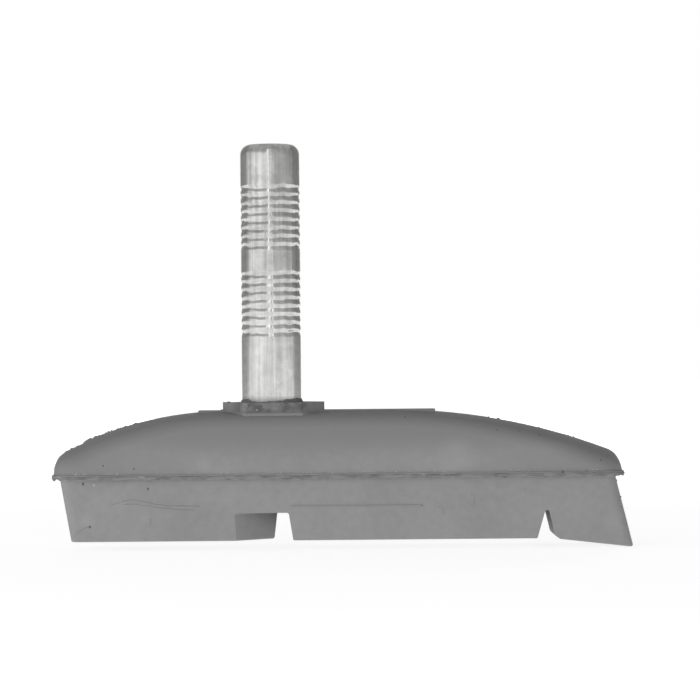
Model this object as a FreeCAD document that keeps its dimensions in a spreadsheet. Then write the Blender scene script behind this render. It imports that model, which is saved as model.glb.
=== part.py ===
"""Bicycle rim brake pad with a plain post, as a parametric document in millimetres.

A moulded rubber pad stands on its braking face.  +X runs along the pad towards the heel, +Z runs up
the post and +Y goes across the pad.  The origin is on the post's axis, where the post leaves the
collar.  Depths are measured down from there, so a depth of 15.98 is at Z = -15.98.
"""
import FreeCAD, Part
import math
import os
import Sketcher

SIZES = [
    # The post, turned from bar, with rolled rings for the brake's clamp.
    ("post_dia", 7.0, "outer diameter"),
    ("post_reach", 30.35, "height above the collar"),
    ("post_end_round", 1.2, "round on the top edge"),
    ("ring_pitch", 0.97, "from one rolled ring to the next"),
    ("ring_count", 8, "rings in each of the two groups"),
    ("ring_depth", 0.09, "depth of a ring below the post's surface"),
    ("ring_tool_round", 0.34, "radius of the roller that presses a ring"),
    ("upper_ring_height", 25.10, "highest ring of the upper group"),
    ("lower_ring_height", 14.93, "highest ring of the lower group"),
    ("grip_dia", 6.4, "slightly turned down where the rubber grips it"),
    ("tenon_dia", 4.6, "neck that passes through the backing plate"),
    ("rivet_dia", 7.6, "head formed under the backing plate"),
    ("rivet_rise", 0.9, "thickness of that head"),
    ("rivet_edge", 0.35, "bevel on that head"),
    # The backing plate inside the rubber.
    ("plate_left", 20.5, "reach to the left of the post's axis"),
    ("plate_right", 36.5, "reach to the right of the post's axis"),
    ("plate_width", 8.4, "across the pad"),
    ("plate_thick", 1.6, "sheet thickness"),
    ("plate_depth", 6.6, "top of the plate, below the collar's top"),
    ("plate_corner", 2.5, "corner radius"),
    ("key_hole_dia", 3.4, "holes that the rubber flows through"),
    ("key_hole_left", 13.0, "left hole, from the post's axis"),
    ("key_hole_right", 14.0, "first right hole, from the post's axis"),
    ("key_hole_pitch", 12.0, "between the two right holes"),
    # The dome: walls that lean in, cut by a crowned top with a soft shoulder.
    ("dome_left", 25.5, "reach to the left of the post's axis"),
    ("dome_right", 40.95, "reach to the right of the post's axis"),
    ("dome_width", 13.0, "across the lip"),
    ("dome_corner", 3.0, "corner radius in plan"),
    ("wall_mid_rise", 4.0, "height of the middle section above the lip"),
    ("wall_mid_inset", 0.57, "how far the wall has come in there"),
    ("wall_top_inset", 2.3, "how far it would have come in, level with the collar's top"),
    ("lip_depth", 8.45, "parting line, below the collar's top"),
    ("ridge_depth", 0.97, "top of the dome, below the collar's top"),
    ("ridge_left_run", 20.5, "falling part of the ridge, from the lip's left end"),
    ("ridge_right_run", 27.55, "falling part of the ridge, from the lip's right end"),
    ("ridge_left_fall", 5.07, "how far the ridge has dropped, level with the lip's left end"),
    ("ridge_right_fall", 5.43, "how far it has dropped, level with the lip's right end"),
    ("crown_round", 18.7, "radius of the crown across the pad"),
    ("shoulder_round", 2.2, "round between crown and walls"),
    ("land_left", 8.6, "flat land on the ridge, left of the axis"),
    ("land_right", 19.2, "flat land on the ridge, right of the axis"),
    ("land_width", 4.4, "across the pad"),
    ("land_rise", 0.03, "above the ridge"),
    # The trimmed gate: where the rubber was fed in, the left end is cut a little lower.
    ("trim_length", 3.36, "start of the cut, from the lip's left end"),
    ("trim_depth", 4.64, "start of the cut, below the collar's top"),
    ("trim_turn", 1.41, "first turn of the cut, from the lip's left end"),
    ("trim_turn_depth", 5.51, "first turn, below the collar's top"),
    ("trim_nose", 0.5, "second turn, from the lip's left end"),
    ("trim_nose_depth", 6.25, "second turn, below the collar's top"),
    ("trim_foot_depth", 7.7, "foot of the cut, below the collar's top"),
    # The collar round the post.
    ("collar_shift", 0.23, "its middle, right of the axis"),
    ("collar_reach", 5.95, "half length along the pad"),
    ("collar_front", 3.3, "half length of the front facet"),
    ("collar_side_inset", 2.35, "front facet, in from the lip's side"),
    ("collar_end_half_width", 1.7, "half width of the end facet"),
    ("collar_corner_round", 0.4, "round on its upright edges"),
    ("plinth_reach", 0.22, "low step round the collar's foot, out from the collar"),
    ("plinth_depth", 1.25, "top of that step, below the collar's top"),
    # The lip and the block under it.
    ("flash_reach", 0.2, "parting flash, out from the lip"),
    ("flash_thick", 0.3, "thickness of the parting flash"),
    ("ledge_drop", 0.5, "slope under the lip, downwards"),
    ("ledge_inset", 0.85, "slope under the lip, inwards"),
    ("ledge_foot", 0.06, "tiny step where the slope ends on the block"),
    ("face_depth", 16.06, "braking face, below the collar's top"),
    ("block_draft", 2.5, "draft of the block's long sides, degrees"),
    ("block_end_round", 1.2, "round on the block's upright end edges"),
    ("left_end_lean", 1.23, "the left end comes in by this much at the face"),
    ("right_end_lean", 2.05, "the right end goes out by this much at the heel"),
    ("face_edge_round", 0.2, "round on the edges of the braking face"),
    # The plow slot: a straight slot whose left wall is a blunt arrow in plan.
    ("slot_depth", 3.23, "above the braking face"),
    ("slot_nose_top", 0.56, "nose of the arrow at the ceiling, from the axis"),
    ("slot_nose_foot", 0.17, "nose of the arrow at the face, from the axis"),
    ("slot_right_top", 1.97, "right wall at the ceiling, from the axis"),
    ("slot_right_foot", 2.49, "right wall at the face, from the axis"),
    ("plow_mouth", 4.24, "left corner of the slot at the sides, from the axis"),
    ("plow_nose_width", 1.0, "width of the arrow's blunt nose"),
    ("slot_round", 0.25, "round in the ceiling's corners"),
    # The V notch and the heel.
    ("notch_middle", 32.05, "middle of the narrow root, from the axis"),
    ("notch_root", 0.42, "width of the root"),
    ("notch_depth", 3.28, "root, above the braking face"),
    ("notch_left_foot", 30.9, "left foot, from the axis"),
    ("notch_right_foot", 32.98, "right foot, from the axis"),
    ("notch_foot_rise", 0.3, "right foot, above the braking face"),
    ("notch_round", 0.15, "round in the root's corners"),
    ("heel_start", 33.53, "start of the heel's slope, from the axis"),
    ("heel_start_drop", 0.10, "start of the slope, below the braking face"),
    ("heel_drop", 1.09, "tip of the heel, below the braking face"),
    # The raised line that shows how far the block may wear.
    ("wear_line_left", 2.24, "left end, from the axis"),
    ("wear_line_right", 17.5, "right end, from the axis"),
    ("wear_line_depth", 12.1, "below the collar's top"),
    ("wear_line_height", 0.14, "height of the raised line"),
    ("wear_line_proud", 0.09, "above the block's side"),
]

FULL_TURN = 360
# Places closer than this, in millimetres, count as the same.
NEAR = 0.01
# A face whose normal points up by more than this belongs to the crown.
STEEP = 0.7
UPWARD = FreeCAD.Vector(0, 0, 1)

doc = FreeCAD.newDocument("rim_brake_pad")
sheet = doc.addObject("Spreadsheet::Sheet", "sizes")


def fill_sheet():
    """Write every driving dimension to the sheet, one row each, with its alias and its meaning."""
    for row, (alias, size, meaning) in enumerate(SIZES, start=1):
        sheet.set(f"A{row}", alias)
        sheet.set(f"B{row}", str(size))
        sheet.set(f"C{row}", meaning)
        sheet.setAlias(f"B{row}", alias)
    doc.recompute()


def value(expression):
    """Work out an expression over the sheet's aliases."""
    return float(sheet.evalExpression(expression))


def new_body(name, label):
    """Start a body that carries one sub-part."""
    body = doc.addObject("PartDesign::Body", name)
    body.Label = label
    return body


def new_sketch(body, name, plane, lift=None):
    """Start a sketch on one of the body's origin planes, lifted along the plane's normal."""
    sketch = body.newObject("Sketcher::SketchObject", name)
    support = [item for item in body.Origin.OriginFeatures if item.Role == plane]
    sketch.AttachmentSupport = (support[0], [""])
    sketch.MapMode = "FlatFace"
    if lift is not None:
        sketch.setExpression("AttachmentOffset.Base.z", lift)
    return sketch


def pin(sketch, edge, end, across, up):
    """Tie one end of an edge to the sheet by its two coordinates."""
    for kind, expression in (("DistanceX", across), ("DistanceY", up)):
        index = sketch.addConstraint(Sketcher.Constraint(kind, -1, 1, edge, end, value(expression)))
        sketch.setExpression(f"Constraints[{index}]", expression)


def draw_polygon(sketch, corners):
    """Draw a closed outline of straight runs with every corner tied to the sheet."""
    points = [FreeCAD.Vector(value(across), value(up), 0) for across, up in corners]
    edges = []
    for start, finish in zip(points, points[1:] + points[:1]):
        edges.append(sketch.addGeometry(Part.LineSegment(start, finish)))
    for edge, following in zip(edges, edges[1:] + edges[:1]):
        sketch.addConstraint(Sketcher.Constraint("Coincident", edge, 2, following, 1))
    for edge, (across, up) in zip(edges, corners):
        pin(sketch, edge, 1, across, up)


def draw_round_rectangle(sketch, left, right, half_width, corner):
    """Draw a rectangle with equal round corners, all four sides and the radius tied to the sheet."""
    low_x = value(left)
    high_x = value(right)
    reach = value(half_width)
    radius = value(corner)
    centres = [
        FreeCAD.Vector(high_x - radius, reach - radius, 0),
        FreeCAD.Vector(low_x + radius, reach - radius, 0),
        FreeCAD.Vector(low_x + radius, radius - reach, 0),
        FreeCAD.Vector(high_x - radius, radius - reach, 0),
    ]
    quarter = math.pi / 2
    arcs = []
    for turn, centre in enumerate(centres):
        circle = Part.Circle(centre, UPWARD, radius)
        arc = Part.ArcOfCircle(circle, turn * quarter, (turn + 1) * quarter)
        arcs.append(sketch.addGeometry(arc))
    sides = []
    for arc, following in zip(arcs, arcs[1:] + arcs[:1]):
        start = sketch.getPoint(arc, 2)
        finish = sketch.getPoint(following, 1)
        sides.append(sketch.addGeometry(Part.LineSegment(start, finish)))
    for arc, side, following in zip(arcs, sides, arcs[1:] + arcs[:1]):
        sketch.addConstraint(Sketcher.Constraint("Tangent", arc, 2, side, 1))
        sketch.addConstraint(Sketcher.Constraint("Tangent", side, 2, following, 1))
    for arc in arcs[1:]:
        sketch.addConstraint(Sketcher.Constraint("Equal", arcs[0], arc))
    back, left_side, front, right_side = sides
    sketch.addConstraint(Sketcher.Constraint("Horizontal", back))
    sketch.addConstraint(Sketcher.Constraint("Vertical", left_side))
    radius_rule = sketch.addConstraint(Sketcher.Constraint("Radius", arcs[0], radius))
    sketch.setExpression(f"Constraints[{radius_rule}]", corner)
    for kind, side, expression in (
        ("DistanceY", back, half_width),
        ("DistanceX", left_side, left),
        ("DistanceY", front, f"-({half_width})"),
        ("DistanceX", right_side, right),
    ):
        rule = Sketcher.Constraint(kind, -1, 1, side, 1, value(expression))
        index = sketch.addConstraint(rule)
        sketch.setExpression(f"Constraints[{index}]", expression)


def add_pad(body, name, sketch, length, symmetric=False, reverse=False):
    """Extrude a sketch by a length from the sheet."""
    pad = body.newObject("PartDesign::Pad", name)
    pad.Profile = sketch
    pad.SideType = "Symmetric" if symmetric else "One side"
    pad.Reversed = reverse
    pad.setExpression("Length", length)
    doc.recompute()
    return pad


def add_pocket(body, name, sketch, length, reverse=False, symmetric=False):
    """Cut a sketch out of the body to a depth from the sheet, and see that it removes something."""
    before = body.Shape.Volume
    pocket = body.newObject("PartDesign::Pocket", name)
    pocket.Profile = sketch
    pocket.Reversed = reverse
    if symmetric:
        pocket.SideType = "Symmetric"
    pocket.setExpression("Length", length)
    doc.recompute()
    if body.Shape.Volume > before - NEAR:
        raise RuntimeError(f"{name} cuts nothing")
    return pocket


def add_loft(body, name, sketches, ruled=False):
    """Loft through sketches, lowest first."""
    loft = body.newObject("PartDesign::AdditiveLoft", name)
    loft.Profile = sketches[0]
    loft.Sections = sketches[1:]
    loft.Ruled = ruled
    doc.recompute()
    return loft


def add_fillet(body, name, base, wanted, radius):
    """Round the edges of the last feature that pass a test."""
    edges = []
    for number, edge in enumerate(base.Shape.Edges, start=1):
        if wanted(edge):
            edges.append(f"Edge{number}")
    if not edges:
        raise RuntimeError(f"{name} finds no edge")
    fillet = body.newObject("PartDesign::Fillet", name)
    fillet.Base = (base, edges)
    fillet.setExpression("Radius", radius)
    doc.recompute()
    return fillet


def make_post():
    """The post: a turned bar with a rounded top, a neck, a formed head and rolled rings."""
    body = new_body("Post", "post")
    profile = new_sketch(body, "post_profile", "XZ_Plane")
    neck = "sizes.tenon_dia / 2"
    seat = "-sizes.plate_depth"
    under = "-sizes.plate_depth - sizes.plate_thick"
    foot = "-sizes.plate_depth - sizes.plate_thick - sizes.rivet_rise"
    draw_polygon(profile, [
        ("0", foot),
        ("sizes.rivet_dia / 2 - sizes.rivet_edge", foot),
        ("sizes.rivet_dia / 2", f"{foot} + sizes.rivet_edge"),
        ("sizes.rivet_dia / 2", under),
        (neck, under),
        (neck, seat),
        ("sizes.grip_dia / 2", seat),
        ("sizes.grip_dia / 2", "0"),
        ("sizes.post_dia / 2", "0"),
        ("sizes.post_dia / 2", "sizes.post_reach"),
        ("0", "sizes.post_reach"),
    ])
    turned = body.newObject("PartDesign::Revolution", "turned_bar")
    turned.Profile = profile
    turned.ReferenceAxis = (profile, ["V_Axis"])
    turned.Angle = FULL_TURN
    doc.recompute()

    def on_top_edge(edge):
        """The round edge of the post's top."""
        box = edge.BoundBox
        return box.ZMin > sheet.post_reach - NEAR and box.YLength > sheet.post_dia / 2

    add_fillet(body, "post_end", turned, on_top_edge, "sizes.post_end_round")
    for group in ("upper", "lower"):
        add_ring_group(body, group)
    return body


def add_ring_group(body, group):
    """One group of rolled rings, the first at its height and the rest a pitch apart below it."""
    sketch = new_sketch(body, f"{group}_ring_profile", "XZ_Plane")
    centre_x = "sizes.post_dia / 2 - sizes.ring_depth + sizes.ring_tool_round"
    centre_z = f"sizes.{group}_ring_height"
    centre = FreeCAD.Vector(value(centre_x), value(centre_z), 0)
    circle = sketch.addGeometry(Part.Circle(centre, UPWARD, sheet.ring_tool_round))
    pin(sketch, circle, 3, centre_x, centre_z)
    rule = sketch.addConstraint(Sketcher.Constraint("Radius", circle, sheet.ring_tool_round))
    sketch.setExpression(f"Constraints[{rule}]", "sizes.ring_tool_round")
    ring = body.newObject("PartDesign::Groove", f"{group}_ring")
    ring.Profile = sketch
    ring.ReferenceAxis = (sketch, ["V_Axis"])
    ring.Angle = FULL_TURN
    doc.recompute()
    rings = body.newObject("PartDesign::LinearPattern", f"{group}_rings")
    rings.Originals = [ring]
    rings.Direction = (sketch, ["V_Axis"])
    rings.Reversed = True
    rings.setExpression("Occurrences", "sizes.ring_count")
    rings.setExpression("Length", "sizes.ring_pitch * (sizes.ring_count - 1)")
    body.Tip = rings
    doc.recompute()


def make_backing_plate():
    """The backing plate: a sheet with round corners, a hole for the post's neck and key holes."""
    body = new_body("Plate", "backing_plate")
    bottom = "-sizes.plate_depth - sizes.plate_thick"
    blank = new_sketch(body, "plate_outline", "XY_Plane", bottom)
    draw_round_rectangle(blank, "-sizes.plate_left", "sizes.plate_right", "sizes.plate_width / 2",
                         "sizes.plate_corner")
    add_pad(body, "plate_blank", blank, "sizes.plate_thick")
    holes = new_sketch(body, "plate_holes", "XY_Plane", bottom)
    for across, diameter in (
        ("0", "sizes.tenon_dia"),
        ("-sizes.key_hole_left", "sizes.key_hole_dia"),
        ("sizes.key_hole_right", "sizes.key_hole_dia"),
        ("sizes.key_hole_right + sizes.key_hole_pitch", "sizes.key_hole_dia"),
    ):
        centre = FreeCAD.Vector(value(across), 0, 0)
        radius = value(f"{diameter} / 2")
        hole = holes.addGeometry(Part.Circle(centre, UPWARD, radius))
        pin(holes, hole, 3, across, "0")
        rule = holes.addConstraint(Sketcher.Constraint("Radius", hole, radius))
        holes.setExpression(f"Constraints[{rule}]", f"{diameter} / 2")
    add_pocket(body, "plate_bores", holes, "sizes.plate_thick", reverse=True)
    return body


def add_block(body):
    """The rim block: its side outline with slot, notch and heel, extruded, drafted and rounded."""
    left_top = "-(sizes.dome_left - sizes.ledge_inset)"
    right_top = "sizes.dome_right - sizes.ledge_inset"
    top = "-(sizes.lip_depth + sizes.ledge_drop)"
    face = "-sizes.face_depth"
    outline = new_sketch(body, "block_outline", "XZ_Plane")
    draw_polygon(outline, [
        (left_top, top),
        (f"{left_top} + sizes.left_end_lean", face),
        ("sizes.slot_nose_foot", face),
        ("sizes.slot_nose_top", "-sizes.face_depth + sizes.slot_depth"),
        ("sizes.slot_right_top", "-sizes.face_depth + sizes.slot_depth"),
        ("sizes.slot_right_foot", face),
        ("sizes.notch_left_foot", face),
        ("sizes.notch_middle - sizes.notch_root / 2", "-sizes.face_depth + sizes.notch_depth"),
        ("sizes.notch_middle + sizes.notch_root / 2", "-sizes.face_depth + sizes.notch_depth"),
        ("sizes.notch_right_foot", "-sizes.face_depth + sizes.notch_foot_rise"),
        ("sizes.heel_start", "-sizes.face_depth - sizes.heel_start_drop"),
        (f"{right_top} + sizes.right_end_lean", "-sizes.face_depth - sizes.heel_drop"),
        (right_top, top),
    ])
    block = add_pad(body, "block", outline, "sizes.dome_width - 2 * sizes.ledge_inset", symmetric=True)
    long_sides = []
    neutral = []
    for number, face in enumerate(block.Shape.Faces, start=1):
        normal = face.normalAt(0, 0)
        if abs(normal.y) > 1 - NEAR:
            long_sides.append(f"Face{number}")
        if normal.z > 1 - NEAR:
            neutral.append(f"Face{number}")
    draft = body.newObject("PartDesign::Draft", "block_sides")
    draft.Base = (block, long_sides)
    draft.NeutralPlane = (block, neutral)
    draft.Angle = sheet.block_draft
    draft.setExpression("Angle", "sizes.block_draft")
    doc.recompute()
    return draft


def cut_plow(body):
    """Cut the flanks of the plow: a wedge on each side leaves a blunt arrow that points right."""
    half_nose = "sizes.plow_nose_width / 2"
    nose = "sizes.slot_nose_top"
    side = "sizes.dome_width / 2"
    above = "(sizes.face_depth - sizes.slot_depth / 2 - sizes.lip_depth - sizes.ledge_drop)"
    wall = f"(sizes.dome_width / 2 - sizes.ledge_inset - {above} * tan(sizes.block_draft * 1 deg))"
    slope = f"({nose} + sizes.plow_mouth) / ({wall} - {half_nose})"
    mouth = f"-sizes.plow_mouth - ({side} - {wall}) * {slope}"
    past_nose = "(sizes.slot_nose_top + sizes.slot_right_top) / 2"
    flanks = new_sketch(body, "plow_flanks", "XY_Plane", "-sizes.face_depth")
    draw_polygon(flanks, [
        (mouth, side),
        (nose, half_nose),
        (past_nose, half_nose),
        (past_nose, side),
    ])
    draw_polygon(flanks, [
        (mouth, f"-({side})"),
        (nose, f"-({half_nose})"),
        (past_nose, f"-({half_nose})"),
        (past_nose, f"-({side})"),
    ])
    return add_pocket(body, "plow_flank_cuts", flanks, "sizes.slot_depth", reverse=True)


def round_block(body, base):
    """Round the block: its upright end edges, the roots of slot and notch, and the face's edges."""
    left = -(sheet.dome_left - sheet.ledge_inset)
    right = sheet.dome_right - sheet.ledge_inset
    face = -sheet.face_depth
    top = -(sheet.lip_depth + sheet.ledge_drop)

    def upright_at_an_end(edge):
        """One of the four tall edges at the block's ends."""
        box = edge.BoundBox
        tall = box.ZMin < face + NEAR and box.ZMax > top - NEAR
        at_an_end = box.XMax < left + sheet.left_end_lean + NEAR or box.XMin > right - NEAR
        return tall and at_an_end

    ends = add_fillet(body, "block_ends", base, upright_at_an_end, "sizes.block_end_round")

    def notch_root(edge):
        """One of the two edges along the notch's root."""
        box = edge.BoundBox
        across = box.XLength < NEAR and box.YLength > NEAR
        in_line = abs(abs(box.Center.x - sheet.notch_middle) - sheet.notch_root / 2) < NEAR
        return across and in_line and abs(box.ZMin - face - sheet.notch_depth) < NEAR

    notch = add_fillet(body, "notch_root", ends, notch_root, "sizes.notch_round")

    def slot_root(edge):
        """An edge between the slot's ceiling and one of its walls."""
        box = edge.BoundBox
        level = face + sheet.slot_depth
        at_ceiling = abs(box.ZMin - level) < NEAR and abs(box.ZMax - level) < NEAR
        inside_slot = box.XMin > -sheet.plow_mouth - sheet.slot_round and box.XMax < sheet.slot_right_foot
        across = box.YLength > NEAR
        return at_ceiling and inside_slot and across

    slot = add_fillet(body, "slot_roots", notch, slot_root, "sizes.slot_round")

    def face_edge(edge):
        """An edge of the braking face, the heel or the bevel, but not the crease where the heel starts."""
        box = edge.BoundBox
        if box.ZMax > face + sheet.notch_foot_rise + NEAR:
            return False
        across = box.XLength < NEAR and box.YLength > sheet.dome_corner
        if across and abs(box.XMax - sheet.heel_start) < NEAR:
            return False
        return box.ZMin < face + NEAR or box.XMin > sheet.notch_middle

    return add_fillet(body, "face_edges", slot, face_edge, "sizes.face_edge_round")


def add_ledge(body):
    """The slope under the lip, from the block's top out to the parting line."""
    block_top = new_sketch(body, "block_top_plan", "XY_Plane", "-(sizes.lip_depth + sizes.ledge_drop)")
    inset = "sizes.ledge_inset - sizes.ledge_foot"
    draw_round_rectangle(block_top, f"-sizes.dome_left + {inset}", f"sizes.dome_right - ({inset})",
                         f"sizes.dome_width / 2 - ({inset})", "sizes.block_end_round")
    lip = new_sketch(body, "lip_underside_plan", "XY_Plane", "-sizes.lip_depth")
    draw_round_rectangle(lip, "-sizes.dome_left", "sizes.dome_right", "sizes.dome_width / 2",
                         "sizes.dome_corner")
    return add_loft(body, "ledge", [block_top, lip], ruled=True)


def add_dome_walls(body):
    """The dome's walls, lofted through three plans so that they lean in more and more."""
    lip = "-sizes.lip_depth"
    plans = []
    for name, level, inset in (
        ("lip_plan", lip, "0"),
        ("middle_plan", f"{lip} + sizes.wall_mid_rise", "sizes.wall_mid_inset"),
        ("top_plan", "0", "sizes.wall_top_inset"),
    ):
        plan = new_sketch(body, name, "XY_Plane", level)
        draw_round_rectangle(
            plan,
            f"-sizes.dome_left + {inset}",
            f"sizes.dome_right - {inset}",
            f"sizes.dome_width / 2 - {inset}",
            "sizes.dome_corner",
        )
        plans.append(plan)
    walls = add_loft(body, "dome_walls", plans)
    return walls


def cut_crown(body):
    """Cut the dome's top: all above the ridge line, turned about an axis low inside the pad."""
    sketch = new_sketch(body, "ridge_line", "XZ_Plane")
    ridge = "-sizes.ridge_depth"
    flat_left = "-(sizes.dome_left - sizes.ridge_left_run)"
    flat_right = "sizes.dome_right - sizes.ridge_right_run"
    low_x = "-sizes.dome_left - sizes.dome_corner"
    high_x = "sizes.dome_right + sizes.dome_corner"
    sky = "sizes.dome_corner"

    def line(start, finish):
        return sketch.addGeometry(Part.LineSegment(start, finish))

    def round_of(run, drop):
        """Radius of an arc that starts level and drops by so much over its run."""
        return f"(({run})^2 + ({drop})^2) / (2 * {drop})"

    def fall(centre_x, radius, far_x):
        """Circle of one fall of the ridge, and the angle from its top to the far end."""
        centre = FreeCAD.Vector(value(centre_x), value(ridge) - radius, 0)
        reach = math.asin(abs(value(far_x) - value(centre_x)) / radius)
        return Part.Circle(centre, UPWARD, radius), reach

    rounds = {
        "left": round_of("sizes.ridge_left_run", "sizes.ridge_left_fall"),
        "right": round_of("sizes.ridge_right_run", "sizes.ridge_right_fall"),
    }
    left_circle, left_angle = fall(flat_left, value(rounds["left"]), low_x)
    right_circle, right_angle = fall(flat_right, value(rounds["right"]), high_x)
    top_angle = math.pi / 2
    left_fall = sketch.addGeometry(Part.ArcOfCircle(left_circle, top_angle, top_angle + left_angle))
    right_fall = sketch.addGeometry(Part.ArcOfCircle(right_circle, top_angle - right_angle, top_angle))
    flat = line(sketch.getPoint(left_fall, 1), sketch.getPoint(right_fall, 2))
    left_side = line(sketch.getPoint(left_fall, 2), FreeCAD.Vector(value(low_x), value(sky), 0))
    roof = line(sketch.getPoint(left_side, 2), FreeCAD.Vector(value(high_x), value(sky), 0))
    right_side = line(sketch.getPoint(roof, 2), sketch.getPoint(right_fall, 1))
    pin(sketch, flat, 1, flat_left, ridge)
    pin(sketch, flat, 2, flat_right, ridge)
    pin(sketch, roof, 1, low_x, sky)
    pin(sketch, roof, 2, high_x, sky)
    for rule in (
        ("Tangent", left_fall, 1, flat, 1),
        ("Tangent", flat, 2, right_fall, 2),
        ("Coincident", left_fall, 2, left_side, 1),
        ("Coincident", left_side, 2, roof, 1),
        ("Coincident", roof, 2, right_side, 1),
        ("Coincident", right_side, 2, right_fall, 1),
        ("Vertical", left_side),
        ("Vertical", right_side),
    ):
        sketch.addConstraint(Sketcher.Constraint(*rule))
    for arc, end in ((left_fall, "left"), (right_fall, "right")):
        rule = sketch.addConstraint(Sketcher.Constraint("Radius", arc, value(rounds[end])))
        sketch.setExpression(f"Constraints[{rule}]", rounds[end])
    depth = "-sizes.ridge_depth - sizes.crown_round"
    axis = line(FreeCAD.Vector(0, value(depth), 0), FreeCAD.Vector(value(high_x), value(depth), 0))
    sketch.setConstruction(axis, True)
    pin(sketch, axis, 1, "0", depth)
    pin(sketch, axis, 2, high_x, depth)
    crown = body.newObject("PartDesign::Groove", "crown")
    crown.Profile = sketch
    crown.ReferenceAxis = (sketch, ["Axis0"])
    crown.Angle = FULL_TURN
    doc.recompute()
    return crown


def round_shoulder(body, crown):
    """Round the edge that runs right round the dome between its crown and its walls."""
    shape = crown.Shape
    lip = -sheet.lip_depth

    def looks_up(face):
        """Tell the crown's faces from the walls."""
        u_low, u_high, v_low, v_high = face.ParameterRange
        normal = face.normalAt((u_low + u_high) / 2, (v_low + v_high) / 2)
        return normal.z > STEEP

    def between_crown_and_wall(edge):
        """An edge with the crown on one side and a wall on the other."""
        if edge.BoundBox.ZMin < lip + NEAR:
            return False
        faces = shape.ancestorsOfType(edge, Part.Face)
        return sum(1 for face in faces if looks_up(face)) == 1

    return add_fillet(body, "shoulder", crown, between_crown_and_wall, "sizes.shoulder_round")


def trim_gate(body):
    """Cut the left end of the dome a little lower, in short flats, as the moulder's knife leaves it."""
    sketch = new_sketch(body, "gate_trim_side", "XZ_Plane")
    left = "-sizes.dome_left"
    outside = f"{left} - sizes.dome_corner"
    draw_polygon(sketch, [
        (f"{left} + sizes.trim_length", "0"),
        (f"{left} + sizes.trim_length", "-sizes.trim_depth"),
        (f"{left} + sizes.trim_turn", "-sizes.trim_turn_depth"),
        (f"{left} + sizes.trim_nose", "-sizes.trim_nose_depth"),
        (left, "-sizes.trim_foot_depth"),
        (outside, "-sizes.trim_foot_depth"),
        (outside, "0"),
    ])
    return add_pocket(body, "gate_trim", sketch, "2 * sizes.dome_width", symmetric=True)


def add_ridge_land(body):
    """The flat land along the ridge, a hair above the crown."""
    plan = new_sketch(body, "land_plan", "XY_Plane", "-sizes.ridge_depth + sizes.land_rise")
    side = "sizes.land_width / 2"
    draw_polygon(plan, [
        ("-sizes.land_left", f"-({side})"),
        ("sizes.land_right", f"-({side})"),
        ("sizes.land_right", side),
        ("-sizes.land_left", side),
    ])
    return add_pad(body, "ridge_land", plan, "sizes.plate_depth - sizes.ridge_depth", reverse=True)


def draw_cut_corner_plan(sketch, grow):
    """Draw the collar's long octagon, grown by a clearance from the sheet."""
    middle = "sizes.collar_shift"
    half_width = "(sizes.dome_width / 2 - sizes.collar_side_inset)"
    quarter = [
        (f"sizes.collar_reach + {grow}", f"sizes.collar_end_half_width + {grow} / 2"),
        (f"sizes.collar_front + {grow} / 2", f"{half_width} + {grow}"),
    ]
    corners = []
    for across, up in quarter:
        corners.append((f"{middle} + ({across})", up))
    for across, up in reversed(quarter):
        corners.append((f"{middle} - ({across})", up))
    for across, up in quarter:
        corners.append((f"{middle} - ({across})", f"-({up})"))
    for across, up in reversed(quarter):
        corners.append((f"{middle} + ({across})", f"-({up})"))
    draw_polygon(sketch, corners)


def add_collar(body):
    """The collar round the post: a long octagon that ends flat at the origin's level, on a low step."""
    plan = new_sketch(body, "collar_plan", "XY_Plane")
    draw_cut_corner_plan(plan, "0")
    collar = add_pad(body, "collar", plan, "sizes.plate_depth", reverse=True)

    def upright(edge):
        """One of the collar's upright edges, which end at the origin's level."""
        box = edge.BoundBox
        thin = box.XLength < NEAR and box.YLength < NEAR
        return thin and box.ZMax > -NEAR and box.ZLength > NEAR

    add_fillet(body, "collar_corners", collar, upright, "sizes.collar_corner_round")
    step = new_sketch(body, "plinth_plan", "XY_Plane", "-sizes.plinth_depth")
    draw_cut_corner_plan(step, "sizes.plinth_reach")
    return add_pad(body, "plinth", step, "sizes.plate_depth - sizes.plinth_depth", reverse=True)


def add_parting_flash(body):
    """The thin flash that the mould's parting line leaves round the lip."""
    plan = new_sketch(body, "flash_plan", "XY_Plane", "-sizes.lip_depth - sizes.flash_thick / 2")
    out = "sizes.flash_reach"
    draw_round_rectangle(plan, f"-sizes.dome_left - {out}", f"sizes.dome_right + {out}",
                         f"sizes.dome_width / 2 + {out}", f"sizes.dome_corner + {out}")
    return add_pad(body, "parting_flash", plan, "sizes.flash_thick")


def add_wear_line(body):
    """The raised wear line on both long sides of the block, as one slab right through it."""
    side = new_sketch(body, "wear_line_side", "XZ_Plane")
    low = "-sizes.wear_line_depth - sizes.wear_line_height / 2"
    high = "-sizes.wear_line_depth + sizes.wear_line_height / 2"
    draw_polygon(side, [
        ("sizes.wear_line_left", low),
        ("sizes.wear_line_right", low),
        ("sizes.wear_line_right", high),
        ("sizes.wear_line_left", high),
    ])
    fall = "(sizes.wear_line_depth - sizes.lip_depth - sizes.ledge_drop) * tan(sizes.block_draft * 1 deg)"
    half = f"sizes.dome_width / 2 - sizes.ledge_inset - {fall} + sizes.wear_line_proud"
    return add_pad(body, "wear_line", side, f"2 * ({half})", symmetric=True)


def make_rubber():
    """The moulded rubber as one piece: block, ledge, dome, collar, flash and wear line."""
    body = new_body("Rubber", "rubber_blank")
    add_block(body)
    plow = cut_plow(body)
    round_block(body, plow)
    add_ledge(body)
    add_dome_walls(body)
    crown = cut_crown(body)
    round_shoulder(body, crown)
    trim_gate(body)
    add_ridge_land(body)
    add_collar(body)
    add_parting_flash(body)
    add_wear_line(body)
    return body


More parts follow.
